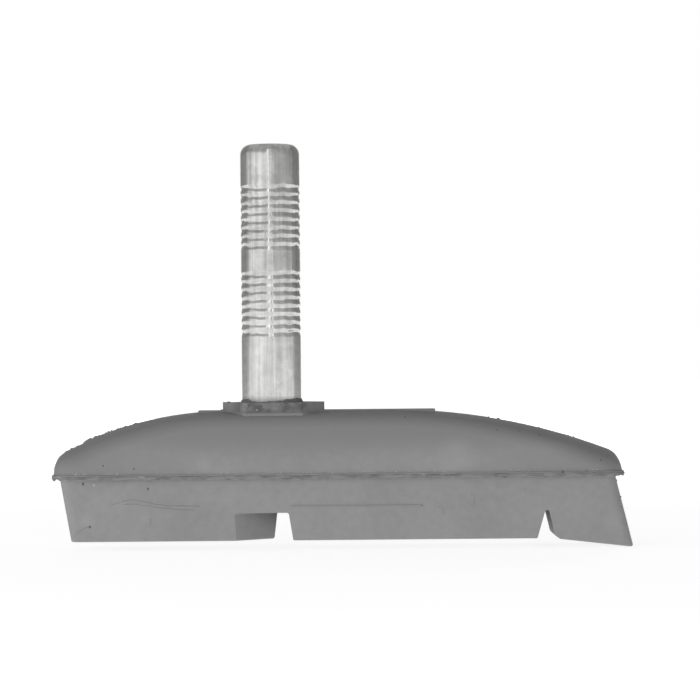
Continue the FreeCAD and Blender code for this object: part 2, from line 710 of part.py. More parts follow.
def mould_round(body, inserts):
    """Leave room in the rubber for the metal that it is moulded round."""
    metal = doc.addObject("Part::MultiFuse", "Metal")
    metal.Label = "metal_insert"
    metal.Shapes = inserts
    rubber_pad = doc.addObject("Part::Cut", "RubberPad")
    rubber_pad.Label = "rubber_pad"
    rubber_pad.Base = body
    rubber_pad.Tool = metal
    doc.recompute()
    return rubber_pad


def check(parts):
    """Stop with a message where an object failed, or where a sub-part isn't one sound solid."""
    for item in doc.Objects:
        if "Invalid" in item.State or "Error" in item.State:
            raise RuntimeError(f"{item.Label} failed: {item.getStatusString()}")
    for part in parts:
        shape = part.Shape
        if shape.isNull() or not shape.isValid() or len(shape.Solids) != 1:
            raise RuntimeError(f"{part.Label} is not one sound solid")


fill_sheet()
post = make_post()
backing_plate = make_backing_plate()
rubber_pad = mould_round(make_rubber(), [post, backing_plate])
pieces = [rubber_pad, post, backing_plate]
check(pieces)
os.makedirs("parts", exist_ok=True)
for piece in pieces:
    piece.Shape.exportStep(f"parts/{piece.Label}.step")
    box = piece.Shape.optimalBoundingBox()
    volume = round(piece.Shape.Volume, 1)
    reach = f"X {box.XMin:.2f} to {box.XMax:.2f}, Z {box.ZMin:.2f} to {box.ZMax:.2f}"
    print(f"{piece.Label}: {volume} cubic mm, {reach}")
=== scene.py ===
"""Looks of a bicycle rim brake pad: grey moulded rubber round a bright ringed post.

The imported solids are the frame. This script gives them their finishes, adds the ragged flash, the specks and
the crumbs that the mould left, and sets the camera, the light and the pale floor.
"""

import logging
import math
import random
from dataclasses import dataclass
from enum import Enum

import bmesh
import bpy
from mathutils import Matrix, Vector, noise
from mathutils.bvhtree import BVHTree


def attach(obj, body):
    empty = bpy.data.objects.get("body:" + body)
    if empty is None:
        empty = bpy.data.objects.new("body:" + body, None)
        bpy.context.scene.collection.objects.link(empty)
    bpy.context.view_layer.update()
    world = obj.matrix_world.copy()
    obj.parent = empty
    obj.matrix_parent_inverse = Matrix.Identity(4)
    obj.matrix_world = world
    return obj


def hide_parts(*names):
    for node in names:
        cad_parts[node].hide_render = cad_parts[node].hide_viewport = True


MM = 0.001
BODY = "root"

UP = Vector((0.0, 0.0, 1.0)).freeze()
PURE_WHITE = (1.0, 1.0, 1.0, 1.0)
RUBBER_IOR = 1.52
# Corners of a solid closer than this are one corner, and a corner this near a level lies on it, in metres.
MERGE_M = 0.002 * MM
FLAT_M = 1e-7
# How much the fine waves of a torn edge count beside the broad ones.
FINE_SHARE = 0.6
# The colour sockets of a Mix node: the colour under, the colour over it, and the two together.
UNDER, OVER, MIXED = 6, 7, 2

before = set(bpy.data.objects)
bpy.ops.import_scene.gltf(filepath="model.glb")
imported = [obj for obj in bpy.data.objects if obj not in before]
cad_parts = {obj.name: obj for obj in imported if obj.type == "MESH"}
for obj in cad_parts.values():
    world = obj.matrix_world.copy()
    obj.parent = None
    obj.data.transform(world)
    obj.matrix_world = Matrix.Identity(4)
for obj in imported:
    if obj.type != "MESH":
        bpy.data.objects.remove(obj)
log = logging.getLogger("brake_pad")


class Node(str, Enum):
    """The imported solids, by the names that the frame gives them."""

    RUBBER = "rubber_pad"
    POST = "post"
    PLATE = "backing_plate"


class Slot(str, Enum):
    """The names of the material slots that the pieces carry."""

    RUBBER = "moulded_rubber"
    POST = "post_steel"
    PLATE = "plate_steel"


class Mark(Enum):
    """What a small mark on the rubber is."""

    PIT = "pit"
    CRUMB = "crumb"
    DUST = "dust"
    BLISTER = "blister"


def to_linear(colour: str) -> tuple[float, float, float, float]:
    """Turn an sRGB hex value into linear light.

    Args:
        colour: The value as "#RRGGBB".

    Returns:
        Red, green, blue and an alpha of 1.
    """
    channels = []
    for start in (1, 3, 5):
        share = int(colour[start : start + 2], 16) / 255
        channels.append(share / 12.92 if share <= 0.04045 else ((share + 0.055) / 1.055) ** 2.4)
    return channels[0], channels[1], channels[2], 1.0


def add_node(
    tree: bpy.types.NodeTree, kind: str, sockets: dict | None = None, **settings
) -> bpy.types.Node:
    """Add a node, give it its settings, and fill or link its inputs.

    Args:
        tree: The tree that the node goes into.
        kind: The node's type name.
        sockets: Input name or number, with a value or the output that feeds it.
        **settings: The node's own properties.

    Returns:
        The new node.
    """
    node = tree.nodes.new(kind)
    for name, value in settings.items():
        setattr(node, name, value)
    for name, value in (sockets or {}).items():
        if isinstance(value, bpy.types.NodeSocket):
            tree.links.new(value, node.inputs[name])
        else:
            node.inputs[name].default_value = value
    return node


def new_material(name: str) -> tuple[bpy.types.Material, bpy.types.NodeTree]:
    """Make an empty node material.

    Args:
        name: What the real material is called.

    Returns:
        The material and its node tree.
    """
    material = bpy.data.materials.new(name)
    material.use_nodes = True
    material.node_tree.nodes.clear()
    return material, material.node_tree


def add_object(name: str, mesh: bmesh.types.BMesh, material: bpy.types.Material) -> bpy.types.Object:
    """Turn a bmesh into an object in the scene, at the origin, with its place in its mesh.

    Args:
        name: The object's name.
        mesh: The finished shape, in place. It is freed here.
        material: Its finish.

    Returns:
        The object.
    """
    data = bpy.data.meshes.new(name)
    mesh.to_mesh(data)
    mesh.free()
    data.materials.append(material)
    thing = bpy.data.objects.new(name, data)
    bpy.context.scene.collection.objects.link(thing)
    return thing


def only(parts: list, kind: type) -> list:
    """Pick the parts of one kind out of what a bmesh operator gives back."""
    return [part for part in parts if isinstance(part, kind)]


def torn(place: Vector, finer: float) -> float:
    """Give the height of a torn edge: broad waves with finer ones on them.

    Args:
        place: The place in the pattern, in broad waves.
        finer: How many times finer the second waves are.

    Returns:
        A height between about -1.6 and 1.6.
    """
    return noise.noise(place) + FINE_SHARE * noise.noise(place * finer)


@dataclass(frozen=True)
class Pattern:
    """A cloudy pattern: the size of its patches, its finer layers and how strong each of them is."""

    size_mm: float
    layers: float
    strength: float

    def inputs(self, place: bpy.types.NodeSocket) -> dict:
        """Give what a noise texture needs for the pattern.

        Args:
            place: The place on the piece, in metres.

        Returns:
            The texture's inputs by name.
        """
        return {
            "Vector": place,
            "Scale": 1 / (self.size_mm * MM),
            "Detail": self.layers,
            "Roughness": self.strength,
        }


@dataclass(frozen=True)
class MouldedRubber:
    """Brake rubber, compression moulded in a steel mould.

    It has a matt satin skin that follows the mould's fine blasted grain, with cloudy patches where the
    compound flowed together and no clear highlight anywhere. Its upper back and both ends are painted darker
    as painted shade, and the collar darker still, in blotches. Sizes and heights are in millimetres, and
    heights count from the post's foot.
    """

    name: str = "brake_rubber_moulded_satin"
    shade: str = "#838383"
    pale_shade: str = "#8D8D8D"
    pale_from: float = 0.7
    pale_to: float = 1.3
    roughness: float = 0.62
    roughness_spread: float = 0.07
    shine: float = 0.32

    # The compound's clouds and mottle, and the mould's blasted grain on a slow ripple. The grain is drawn
    # coarser than the real one, so that it shows.
    cloud: Pattern = Pattern(7.0, 3.0, 0.55)
    mottle: Pattern = Pattern(0.9, 4.0, 0.6)
    grain: Pattern = Pattern(0.22, 2.0, 0.5)
    grain_depth_mm: float = 0.012
    ripple: Pattern = Pattern(2.6, 2.0, 0.4)
    ripple_depth_mm: float = 0.03

    # Painted shade: darker over the top everywhere, and down to the lip towards both ends.
    top_painted_shade: str = "#7E7E7E"
    top_shade_from: float = -7.2
    top_shade_to: float = -3.6
    middle_x: float = 8.0
    end_shade_from: float = 14.0
    end_shade_to: float = 33.0
    lip_level: float = -8.35

    # The pale patches: where the middle of each lies, and how far it reaches. It is full within its core.
    bloom_shade: str = "#949494"
    bloom_core: float = 0.2
    blooms: tuple[tuple[float, float, float, float], ...] = (
        (21.5, -5.9, -6.6, 3.2),
        (-7.9, -5.9, -7.0, 1.5),
        (39.7, -5.9, -14.2, 2.0),
        (-21.6, -5.9, -13.6, 1.6),
    )

    # Painted shade on the collar, darker still and in blotches, most of it on the collar's long sides.
    collar_painted_shade: str = "#4C4C4C"
    collar_shade_from: float = -1.3
    collar_shade_to: float = -1.0
    collar_side_from: float = 2.4
    collar_side_to: float = 4.4
    collar_side_least: float = 0.12
    collar_shade_patches: Pattern = Pattern(1.5, 3.0, 0.6)
    collar_shade_faint_at: float = 0.36
    collar_shade_full_at: float = 0.62
    collar_shade_least: float = 0.15

    def build(self) -> bpy.types.Material:
        """Build the rubber's node material.

        Returns:
            The material.
        """
        material, tree = new_material(self.name)
        place = add_node(tree, "ShaderNodeTexCoord").outputs["Object"]
        cloud, mottle, grain, ripple = (
            add_node(tree, "ShaderNodeTexNoise", pattern.inputs(place)).outputs["Fac"]
            for pattern in (self.cloud, self.mottle, self.grain, self.ripple)
        )
        patches = add_node(tree, "ShaderNodeMath", {0: cloud, 1: mottle}, operation="ADD")
        spread = add_node(
            tree,
            "ShaderNodeMapRange",
            {"Value": patches.outputs[0], "From Min": self.pale_from, "From Max": self.pale_to},
        )
        colour = add_node(
            tree,
            "ShaderNodeMix",
            {0: spread.outputs[0], UNDER: to_linear(self.shade), OVER: to_linear(self.pale_shade)},
            data_type="RGBA",
        )
        # Painted shade: the upper back and both ends are painted darker.
        top_shaded = self.paint_top_shade(tree, place, colour.outputs[MIXED])
        bloomed = self.bloom(tree, place, cloud, top_shaded)
        # Painted shade: the collar is painted darker still, in blotches.
        collar_shaded = self.paint_collar_shade(tree, place, bloomed)
        worn = add_node(
            tree,
            "ShaderNodeMapRange",
            {
                "Value": mottle,
                "To Min": self.roughness - self.roughness_spread,
                "To Max": self.roughness + self.roughness_spread,
            },
        )
        wavy = add_node(
            tree,
            "ShaderNodeBump",
            {"Height": ripple, "Strength": 1.0, "Distance": self.ripple_depth_mm * MM},
        )
        skin = add_node(
            tree,
            "ShaderNodeBump",
            {
                "Height": grain,
                "Strength": 1.0,
                "Distance": self.grain_depth_mm * MM,
                "Normal": wavy.outputs[0],
            },
        )
        shader = add_node(
            tree,
            "ShaderNodeBsdfPrincipled",
            {
                "Base Color": collar_shaded,
                "Roughness": worn.outputs[0],
                "IOR": RUBBER_IOR,
                "Specular IOR Level": self.shine,
                "Normal": skin.outputs[0],
            },
        )
        add_node(tree, "ShaderNodeOutputMaterial", {"Surface": shader.outputs[0]})
        return material

    def paint_top_shade(
        self, tree: bpy.types.NodeTree, place: bpy.types.NodeSocket, under: bpy.types.NodeSocket
    ) -> bpy.types.NodeSocket:
        """Paint shade over the upper back and down to the lip towards both ends, as a darker colour.

        Args:
            tree: The rubber's tree.
            place: The place on the rubber.
            under: The colour under the painted shade.

        Returns:
            The colour of the two together.
        """
        parts = add_node(tree, "ShaderNodeSeparateXYZ", {0: place})
        on_back = add_node(
            tree,
            "ShaderNodeMapRange",
            {
                "Value": parts.outputs["Z"],
                "From Min": self.top_shade_from * MM,
                "From Max": self.top_shade_to * MM,
            },
            interpolation_type="SMOOTHSTEP",
        )
        over_lip = add_node(
            tree,
            "ShaderNodeMath",
            {0: parts.outputs["Z"], 1: self.lip_level * MM},
            operation="GREATER_THAN",
        )
        along = add_node(
            tree,
            "ShaderNodeMath",
            {0: parts.outputs["X"], 1: self.middle_x * MM},
            operation="SUBTRACT",
        )
        from_middle = add_node(tree, "ShaderNodeMath", {0: along.outputs[0]}, operation="ABSOLUTE")
        at_ends = add_node(
            tree,
            "ShaderNodeMapRange",
            {
                "Value": from_middle.outputs[0],
                "From Min": self.end_shade_from * MM,
                "From Max": self.end_shade_to * MM,
            },
        )
        end_shade = add_node(
            tree, "ShaderNodeMath", {0: at_ends.outputs[0], 1: over_lip.outputs[0]}, operation="MULTIPLY"
        )
        share = add_node(
            tree, "ShaderNodeMath", {0: on_back.outputs[0], 1: end_shade.outputs[0]}, operation="MAXIMUM"
        )
        # The darker colour mixed in here is painted shade.
        return add_node(
            tree,
            "ShaderNodeMix",
            {0: share.outputs[0], UNDER: under, OVER: to_linear(self.top_painted_shade)},
            data_type="RGBA",
        ).outputs[MIXED]

    def bloom(
        self,
        tree: bpy.types.NodeTree,
        place: bpy.types.NodeSocket,
        uneven: bpy.types.NodeSocket,
        under: bpy.types.NodeSocket,
    ) -> bpy.types.NodeSocket:
        """Rub a few pale, dry patches into the sides.

        Args:
            tree: The rubber's tree.
            place: The place on the rubber.
            uneven: A pattern that breaks the patches up.
            under: The colour under them.

        Returns:
            The colour of the two together.
        """
        for across, aside, up, reach in self.blooms:
            away = add_node(
                tree,
                "ShaderNodeVectorMath",
                {0: place, 1: (across * MM, aside * MM, up * MM)},
                operation="DISTANCE",
            )
            near = add_node(
                tree,
                "ShaderNodeMapRange",
                {
                    "Value": away.outputs["Value"],
                    "From Min": reach * MM,
                    "From Max": self.bloom_core * reach * MM,
                },
                interpolation_type="SMOOTHSTEP",
            )
            share = add_node(tree, "ShaderNodeMath", {0: near.outputs[0], 1: uneven}, operation="MULTIPLY")
            under = add_node(
                tree,
                "ShaderNodeMix",
                {0: share.outputs[0], UNDER: under, OVER: to_linear(self.bloom_shade)},
                data_type="RGBA",
            ).outputs[MIXED]
        return under

    def paint_collar_shade(
        self, tree: bpy.types.NodeTree, place: bpy.types.NodeSocket, under: bpy.types.NodeSocket
    ) -> bpy.types.NodeSocket:
        """Paint darker shade over the collar, in blotches, and most of it on its long sides.

        Args:
            tree: The rubber's tree.
            place: The place on the rubber.
            under: The colour under the painted shade.

        Returns:
            The colour of the two together.
        """
        parts = add_node(tree, "ShaderNodeSeparateXYZ", {0: place})
        above = add_node(
            tree,
            "ShaderNodeMapRange",
            {"Value": parts.outputs["Z"], "From Min": self.collar_shade_from * MM, "From Max": self.collar_shade_to * MM},
        )
        aside = add_node(tree, "ShaderNodeMath", {0: parts.outputs["Y"]}, operation="ABSOLUTE")
        on_side = add_node(
            tree,
            "ShaderNodeMapRange",
            {
                "Value": aside.outputs[0],
                "From Min": self.collar_side_from * MM,
                "From Max": self.collar_side_to * MM,
                "To Min": self.collar_side_least,
                "To Max": 1.0,
            },
        )
        blotches = add_node(tree, "ShaderNodeTexNoise", self.collar_shade_patches.inputs(place))
        uneven = add_node(
            tree,
            "ShaderNodeMapRange",
            {
                "Value": blotches.outputs["Fac"],
                "From Min": self.collar_shade_faint_at,
                "From Max": self.collar_shade_full_at,
                "To Min": self.collar_shade_least,
                "To Max": 1.0,
            },
        )
        where = add_node(
            tree, "ShaderNodeMath", {0: above.outputs[0], 1: on_side.outputs[0]}, operation="MULTIPLY"
        )
        share = add_node(
            tree, "ShaderNodeMath", {0: where.outputs[0], 1: uneven.outputs[0]}, operation="MULTIPLY"
        )
        # The darker colour mixed in here is painted shade.
        return add_node(
            tree,
            "ShaderNodeMix",
            {0: share.outputs[0], UNDER: under, OVER: to_linear(self.collar_painted_shade)},
            data_type="RGBA",
        ).outputs[MIXED]


@dataclass(frozen=True)
class RubberFlash:
    """The thin skin of rubber that squeezed out at the mould's joint.

    It tore when the pad was trimmed, so it is rougher than the moulded skin and streaked with short level
    tears. Its colour is darker than the skin's.
    """

    name: str = "brake_rubber_torn_flash"
    shade: str = "#5C5C5C"
    pale_shade: str = "#7E7E7E"
    pale_from: float = 0.3
    pale_to: float = 0.6
    tear_mm: float = 1.6
    tear_height_mm: float = 0.5
    tear_depth_mm: float = 0.03
    tear_strength: float = 0.8
    roughness: float = 0.75
    shine: float = 0.3

    def build(self) -> bpy.types.Material:
        """Build the flash's node material.

        Returns:
            The material.
        """
        material, tree = new_material(self.name)
        place = add_node(tree, "ShaderNodeTexCoord").outputs["Object"]
        across = 1 / (self.tear_mm * MM)
        drawn = add_node(
            tree,
            "ShaderNodeMapping",
            {"Vector": place, "Scale": (across, across, 1 / (self.tear_height_mm * MM))},
        )
        tears = add_node(
            tree,
            "ShaderNodeTexNoise",
            {"Vector": drawn.outputs[0], "Scale": 1.0, "Detail": 3.0, "Roughness": 0.6},
        )
        spread = add_node(
            tree,
            "ShaderNodeMapRange",
            {"Value": tears.outputs["Fac"], "From Min": self.pale_from, "From Max": self.pale_to},
        )
        colour = add_node(
            tree,
            "ShaderNodeMix",
            {0: spread.outputs[0], UNDER: to_linear(self.shade), OVER: to_linear(self.pale_shade)},
            data_type="RGBA",
        )
        rough = add_node(
            tree,
            "ShaderNodeBump",
            {
                "Height": tears.outputs["Fac"],
                "Strength": self.tear_strength,
                "Distance": self.tear_depth_mm * MM,
            },
        )
        shader = add_node(
            tree,
            "ShaderNodeBsdfPrincipled",
            {
                "Base Color": colour.outputs[MIXED],
                "Roughness": self.roughness,
                "IOR": RUBBER_IOR,
                "Specular IOR Level": self.shine,
                "Normal": rough.outputs[0],
            },
        )
        add_node(tree, "ShaderNodeOutputMaterial", {"Surface": shader.outputs[0]})
        return material


@dataclass(frozen=True)
class PlainMark:
    """The small marks' finish: a dark speck, a crumb of cured rubber, or a pale grain of dust.

    All three are dry and matt, and each is flecked with the grey of the rubber round it.
    """

    name: str
    shade: str
    fleck_shade: str = "#7C7C7C"
    fleck: Pattern = Pattern(0.2, 2.0, 0.5)
    roughness: float = 0.8
    shine: float = 0.2

    def build(self) -> bpy.types.Material:
        """Build the mark's node material.

        Returns:
            The material.
        """
        material, tree = new_material(self.name)
        place = add_node(tree, "ShaderNodeTexCoord").outputs["Object"]
        fleck = add_node(tree, "ShaderNodeTexNoise", self.fleck.inputs(place))
        colour = add_node(
            tree,
            "ShaderNodeMix",
            {0: fleck.outputs["Fac"], UNDER: to_linear(self.shade), OVER: to_linear(self.fleck_shade)},
            data_type="RGBA",
        )
        shader = add_node(
            tree,
            "ShaderNodeBsdfPrincipled",
            {
                "Base Color": colour.outputs[MIXED],
                "Roughness": self.roughness,
                "Specular IOR Level": self.shine,
            },
        )
        add_node(tree, "ShaderNodeOutputMaterial", {"Surface": shader.outputs[0]})
        return material


@dataclass(frozen=True)
class ZincPlatedSteel:
    """Drawn steel bar with a bright zinc plate.

    The drawing left faint lengthwise lines, so the light breaks up into upright streaks. Handling has dulled
    it in patches. The lower shank is painted brighter, a painted highlight for a brighter reflection, and just
    above the collar it is painted darker, a painted reflection of the dark rubber.
    Sizes and heights are in millimetres, and heights count from the post's foot.
    """

    name: str = "zinc_plated_drawn_steel"
    shade: str = "#DEDEDC"
    dull_shade: str = "#B8B8B6"
    dull_at: float = 0.75
    bright_at: float = 1.2
    dull_roughness: float = 0.26
    bright_roughness: float = 0.17
    lower_shank_painted_highlight: str = "#F2F2F0"
    highlight_from: float = 13.0
    highlight_to: float = 11.0
    highlight_share: float = 0.22
    foot_painted_reflection: str = "#9C9C9C"
    foot_reflection_from: float = 0.8
    foot_reflection_to: float = -0.1
    line_mm: float = 0.5
    line_length_mm: float = 14.0
    line_depth_mm: float = 0.045
    patches: Pattern = Pattern(1.6, 3.0, 0.6)
    dent_depth_mm: float = 0.009

    def build(self) -> bpy.types.Material:
        """Build the plated steel's node material.

        Returns:
            The material.
        """
        material, tree = new_material(self.name)
        place = add_node(tree, "ShaderNodeTexCoord").outputs["Object"]
        across = 1 / (self.line_mm * MM)
        drawn = add_node(
            tree,
            "ShaderNodeMapping",
            {"Vector": place, "Scale": (across, across, 1 / (self.line_length_mm * MM))},
        )
        lines = add_node(
            tree,
            "ShaderNodeTexNoise",
            {"Vector": drawn.outputs[0], "Scale": 1.0, "Detail": 2.0, "Roughness": 0.5},
        )
        patches = add_node(tree, "ShaderNodeTexNoise", self.patches.inputs(place))
        both = add_node(
            tree, "ShaderNodeMath", {0: lines.outputs["Fac"], 1: patches.outputs["Fac"]}, operation="ADD"
        )
        shine = {"Value": both.outputs[0], "From Min": self.dull_at, "From Max": self.bright_at}
        spread = add_node(tree, "ShaderNodeMapRange", shine)
        colour = add_node(
            tree,
            "ShaderNodeMix",
            {0: spread.outputs[0], UNDER: to_linear(self.dull_shade), OVER: to_linear(self.shade)},
            data_type="RGBA",
        )
        height = add_node(tree, "ShaderNodeSeparateXYZ", {0: place}).outputs["Z"]
        # Painted highlight: the lower shank is painted brighter, for a brighter reflection there.
        lower_shank = add_node(
            tree,
            "ShaderNodeMapRange",
            {
                "Value": height,
                "From Min": self.highlight_from * MM,
                "From Max": self.highlight_to * MM,
                "To Max": self.highlight_share,
            },
        )
        brighter = add_node(
            tree,
            "ShaderNodeMix",
            {0: lower_shank.outputs[0], UNDER: colour.outputs[MIXED], OVER: to_linear(self.lower_shank_painted_highlight)},
            data_type="RGBA",
        )
        # Painted reflection: just above the collar the steel is painted darker, for the dark rubber seen in it.
        near_foot = add_node(
            tree,
            "ShaderNodeMapRange",
            {"Value": height, "From Min": self.foot_reflection_from * MM, "From Max": self.foot_reflection_to * MM},
        )
        foot_reflection = add_node(
            tree,
            "ShaderNodeMath",
            {0: near_foot.outputs[0], 1: patches.outputs["Fac"], 2: near_foot.outputs[0]},
            operation="MULTIPLY_ADD",
        )
        with_foot_reflection = add_node(
            tree,
            "ShaderNodeMix",
            {0: foot_reflection.outputs[0], UNDER: brighter.outputs[MIXED], OVER: to_linear(self.foot_painted_reflection)},
            data_type="RGBA",
        )
        rubbed = add_node(
            tree,
            "ShaderNodeMapRange",
            shine | {"To Min": self.dull_roughness, "To Max": self.bright_roughness},
        )
        dents = add_node(
            tree,
            "ShaderNodeBump",
            {"Height": patches.outputs["Fac"], "Strength": 1.0, "Distance": self.dent_depth_mm * MM},
        )
        scored = add_node(
            tree,
            "ShaderNodeBump",
            {
                "Height": lines.outputs["Fac"],
                "Strength": 1.0,
                "Distance": self.line_depth_mm * MM,
                "Normal": dents.outputs[0],
            },
        )
        shader = add_node(
            tree,
            "ShaderNodeBsdfPrincipled",
            {
                "Base Color": with_foot_reflection.outputs[MIXED],
                "Metallic": 1.0,
                "Roughness": rubbed.outputs[0],
                "Normal": scored.outputs[0],
            },
        )
        add_node(tree, "ShaderNodeOutputMaterial", {"Surface": shader.outputs[0]})
        return material


@dataclass(frozen=True)
class BlankedSteel:
    """Cold-rolled sheet, blanked and left plain, with fine rolling lines along it.

    It is bonded inside the rubber and never seen.
    """

    name: str = "cold_rolled_steel_blanked"
    shade: str = "#8C8C8E"
    lines_per_mm: float = 3.0
    line_ends_per_mm: float = 0.2
    least_roughness: float = 0.35
    most_roughness: float = 0.55

    def build(self) -> bpy.types.Material:
        """Build the sheet's node material.

        Returns:
            The material.
        """
        material, tree = new_material(self.name)
        place = add_node(tree, "ShaderNodeTexCoord").outputs["Object"]
        along = self.line_ends_per_mm / MM
        rolled = add_node(
            tree, "ShaderNodeMapping", {"Vector": place, "Scale": (along, self.lines_per_mm / MM, along)}
        )
        lines = add_node(tree, "ShaderNodeTexNoise", {"Vector": rolled.outputs[0], "Scale": 1.0})
        rough = add_node(
            tree,
            "ShaderNodeMapRange",
            {
                "Value": lines.outputs["Fac"],
                "To Min": self.least_roughness,
                "To Max": self.most_roughness,
            },
        )
        shader = add_node(
            tree,
            "ShaderNodeBsdfPrincipled",
            {"Base Color": to_linear(self.shade), "Metallic": 1.0, "Roughness": rough.outputs[0]},
        )
        add_node(tree, "ShaderNodeOutputMaterial", {"Surface": shader.outputs[0]})
        return material


@dataclass
class Piece:
    """One finished mesh piece of the pad."""

    name: str
    slot: Slot
    material: bpy.types.Material

    def place(self, mesh: bmesh.types.BMesh) -> bpy.types.Object:
        """Turn a bmesh into an object that rides on the pad.

        Args:
            mesh: The finished shape, in place. It is freed here.

        Returns:
            The object, at the origin, with its place in its mesh.
        """
        thing = add_object(self.name, mesh, self.material)
        thing.data.shade_smooth()
        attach(thing, BODY)
        return thing


@dataclass
class Solids:
    """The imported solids, which keep their shape and get their finishes."""

    rubber: bpy.types.Material
    plated: bpy.types.Material
    blanked: bpy.types.Material

    def dress(self) -> None:
        """Put each solid's finish on it."""
        finishes = {Node.RUBBER: self.rubber, Node.POST: self.plated, Node.PLATE: self.blanked}
        for node, material in finishes.items():
            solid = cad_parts[node.value]
            solid.data.materials.clear()
            solid.data.materials.append(material)
            log.info("%s: %s", node.value, material.name)

    def merged(self, node: Node) -> bmesh.types.BMesh:
        """Copy a solid's mesh with its doubles merged.

        Args:
            node: Which solid.

        Returns:
            The copy, which the caller frees.
        """
        mesh = bmesh.new()
        mesh.from_mesh(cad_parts[node.value].data)
        bmesh.ops.remove_doubles(mesh, verts=mesh.verts, dist=MERGE_M)
        return mesh


@dataclass
class RingedPost:
    """The turned post as it really is: soft rolled rings that waver a little, and faint dents from handling.

    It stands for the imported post, with the same profile from the formed head to the rounded top. Sizes are in
    millimetres and angles in degrees.
    """

    material: bpy.types.Material
    radius: float = 3.5
    reach: float = 30.35
    end_round: float = 1.2
    end_segments: int = 10
    brim_from: float = 0.9
    grip_radius: float = 3.2
    tenon_radius: float = 2.3
    head_radius: float = 3.8
    head_edge: float = 0.35
    plate_top: float = -6.6
    plate_bottom: float = -8.2
    head_bottom: float = -9.1
    rows: int = 330
    turns: int = 112
    weld_mm: float = 0.001
    sharp_angle: float = 38.0

    # The shank's wall: its number among the profile's runs, and the plain rim that it keeps under the round.
    wall_run: int = 8
    wall_rim: float = 0.2

    # The rings, and how much each wavers, kinks at the dies' seam and changes in depth on its way round. The
    # loop is the way round the post as the noise sees it, and the steps keep one ring's noise off the next's.
    ring_pitch: float = 0.97
    ring_count: int = 8
    ring_tops: tuple[float, ...] = (25.10, 14.93)
    ring_depth: float = 0.095
    ring_sharpness: float = 1.35
    loop: float = 3.4
    waver: float = 0.15
    waver_step: float = 0.55
    kink_share: float = 0.8
    kink_per_degree: float = 0.35
    kink_step: float = 1.7
    depth_spread: float = 0.25
    depth_loop: float = 0.8
    depth_from: float = 4.0
    depth_step: float = 0.9
    seam_azimuth: float = -1.0
    seam_width: float = 7.0

    # The dents: long shallow ones, and finer ones on them. The part inside the rubber has none.
    dent: float = 0.012
    dent_level: float = 0.6
    dent_mm: float = 1.5
    dent_flatness: float = 0.35
    fine_dent_share: float = 0.35
    fine_dent_mm: float = 0.9
    worn_from: float = 0.3
    worn_outside: float = 2.0

    def profile(self) -> list[tuple[float, float]]:
        """Give the corners of the post's half section, from the head up.

        Returns:
            The radius and the height of each corner.
        """
        return [
            (0.0, self.head_bottom),
            (self.head_radius - self.head_edge, self.head_bottom),
            (self.head_radius, self.head_bottom + self.head_edge),
            (self.head_radius, self.plate_bottom),
            (self.tenon_radius, self.plate_bottom),
            (self.tenon_radius, self.plate_top),
            (self.grip_radius, self.plate_top),
            (self.grip_radius, 0.0),
            (self.radius, 0.0),
            (self.radius, self.reach - self.end_round - self.wall_rim),
            (self.radius, self.reach),
            (0.0, self.reach),
        ]

    def ring_sink(self, around: float, height: float) -> float:
        """Find how far the rolled rings sink the surface at one place.

        Args:
            around: The place's azimuth in degrees, 0 at the front.
            height: Its height in millimetres.

        Returns:
            The depth in millimetres.
        """
        turn = math.radians(around)
        loop = Vector((math.cos(turn), math.sin(turn), 0.0)) * self.loop
        near_seam = math.exp(-(((around - self.seam_azimuth) / self.seam_width) ** 2))
        for top in self.ring_tops:
            place = (top - height) / self.ring_pitch
            number = max(0, min(self.ring_count - 1, round(place)))
            shift = noise.noise(loop + UP * (number * self.waver_step + top))
            kink = noise.noise(Vector((around * self.kink_per_degree, number * self.kink_step, top)))
            off = self.waver * shift + self.kink_share * self.waver * kink * near_seam
            away = place - number - off / self.ring_pitch
            if abs(away) < 0.5:
                along = Vector((self.depth_from, 0.0, number * self.depth_step))
                deep = 1.0 + self.depth_spread * noise.noise(loop * self.depth_loop + along)
                hollow = 0.5 + 0.5 * math.cos(2 * math.pi * away)
                return self.ring_depth * deep * hollow**self.ring_sharpness
        return 0.0

    def build(self) -> bpy.types.Object:
        """Build the post.

        Returns:
            The finished piece.
        """
        mesh = bmesh.new()
        corners = [mesh.verts.new((reach * MM, 0.0, height * MM)) for reach, height in self.profile()]
        runs = [mesh.edges.new(pair) for pair in zip(corners, corners[1:])]
        bmesh.ops.subdivide_edges(mesh, edges=[runs[self.wall_run]], cuts=self.rows)
        bmesh.ops.spin(
            mesh,
            geom=list(mesh.verts) + list(mesh.edges),
            cent=(0.0, 0.0, 0.0),
            axis=UP,
            angle=2 * math.pi,
            steps=self.turns,
            use_merge=True,
        )
        bmesh.ops.remove_doubles(mesh, verts=mesh.verts, dist=self.weld_mm * MM)
        brim = [edge for edge in mesh.edges if all(self.on_brim(end.co) for end in edge.verts)]
        bmesh.ops.bevel(
            mesh,
            geom=brim,
            offset=self.end_round * MM,
            affect="EDGES",
            segments=self.end_segments,
            profile=0.5,
            material=-1,
        )
        bmesh.ops.recalc_face_normals(mesh, faces=mesh.faces)
        for corner in mesh.verts:
            reach = math.hypot(corner.co.x, corner.co.y)
            if corner.co.z > self.worn_from * MM and reach > self.worn_outside * MM:
                self.weather(corner, reach)
        for edge in mesh.edges:
            edge.smooth = edge.calc_face_angle(0.0) < math.radians(self.sharp_angle)
        post = Piece("ringed_post", Slot.POST, self.material).place(mesh)
        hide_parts(Node.POST.value)
        return post

    def on_brim(self, point: Vector) -> bool:
        """Tell whether a point, in metres, lies on the outer edge of the post's flat top."""
        at_top = abs(point.z - self.reach * MM) < FLAT_M
        return at_top and math.hypot(point.x, point.y) > self.brim_from * self.radius * MM

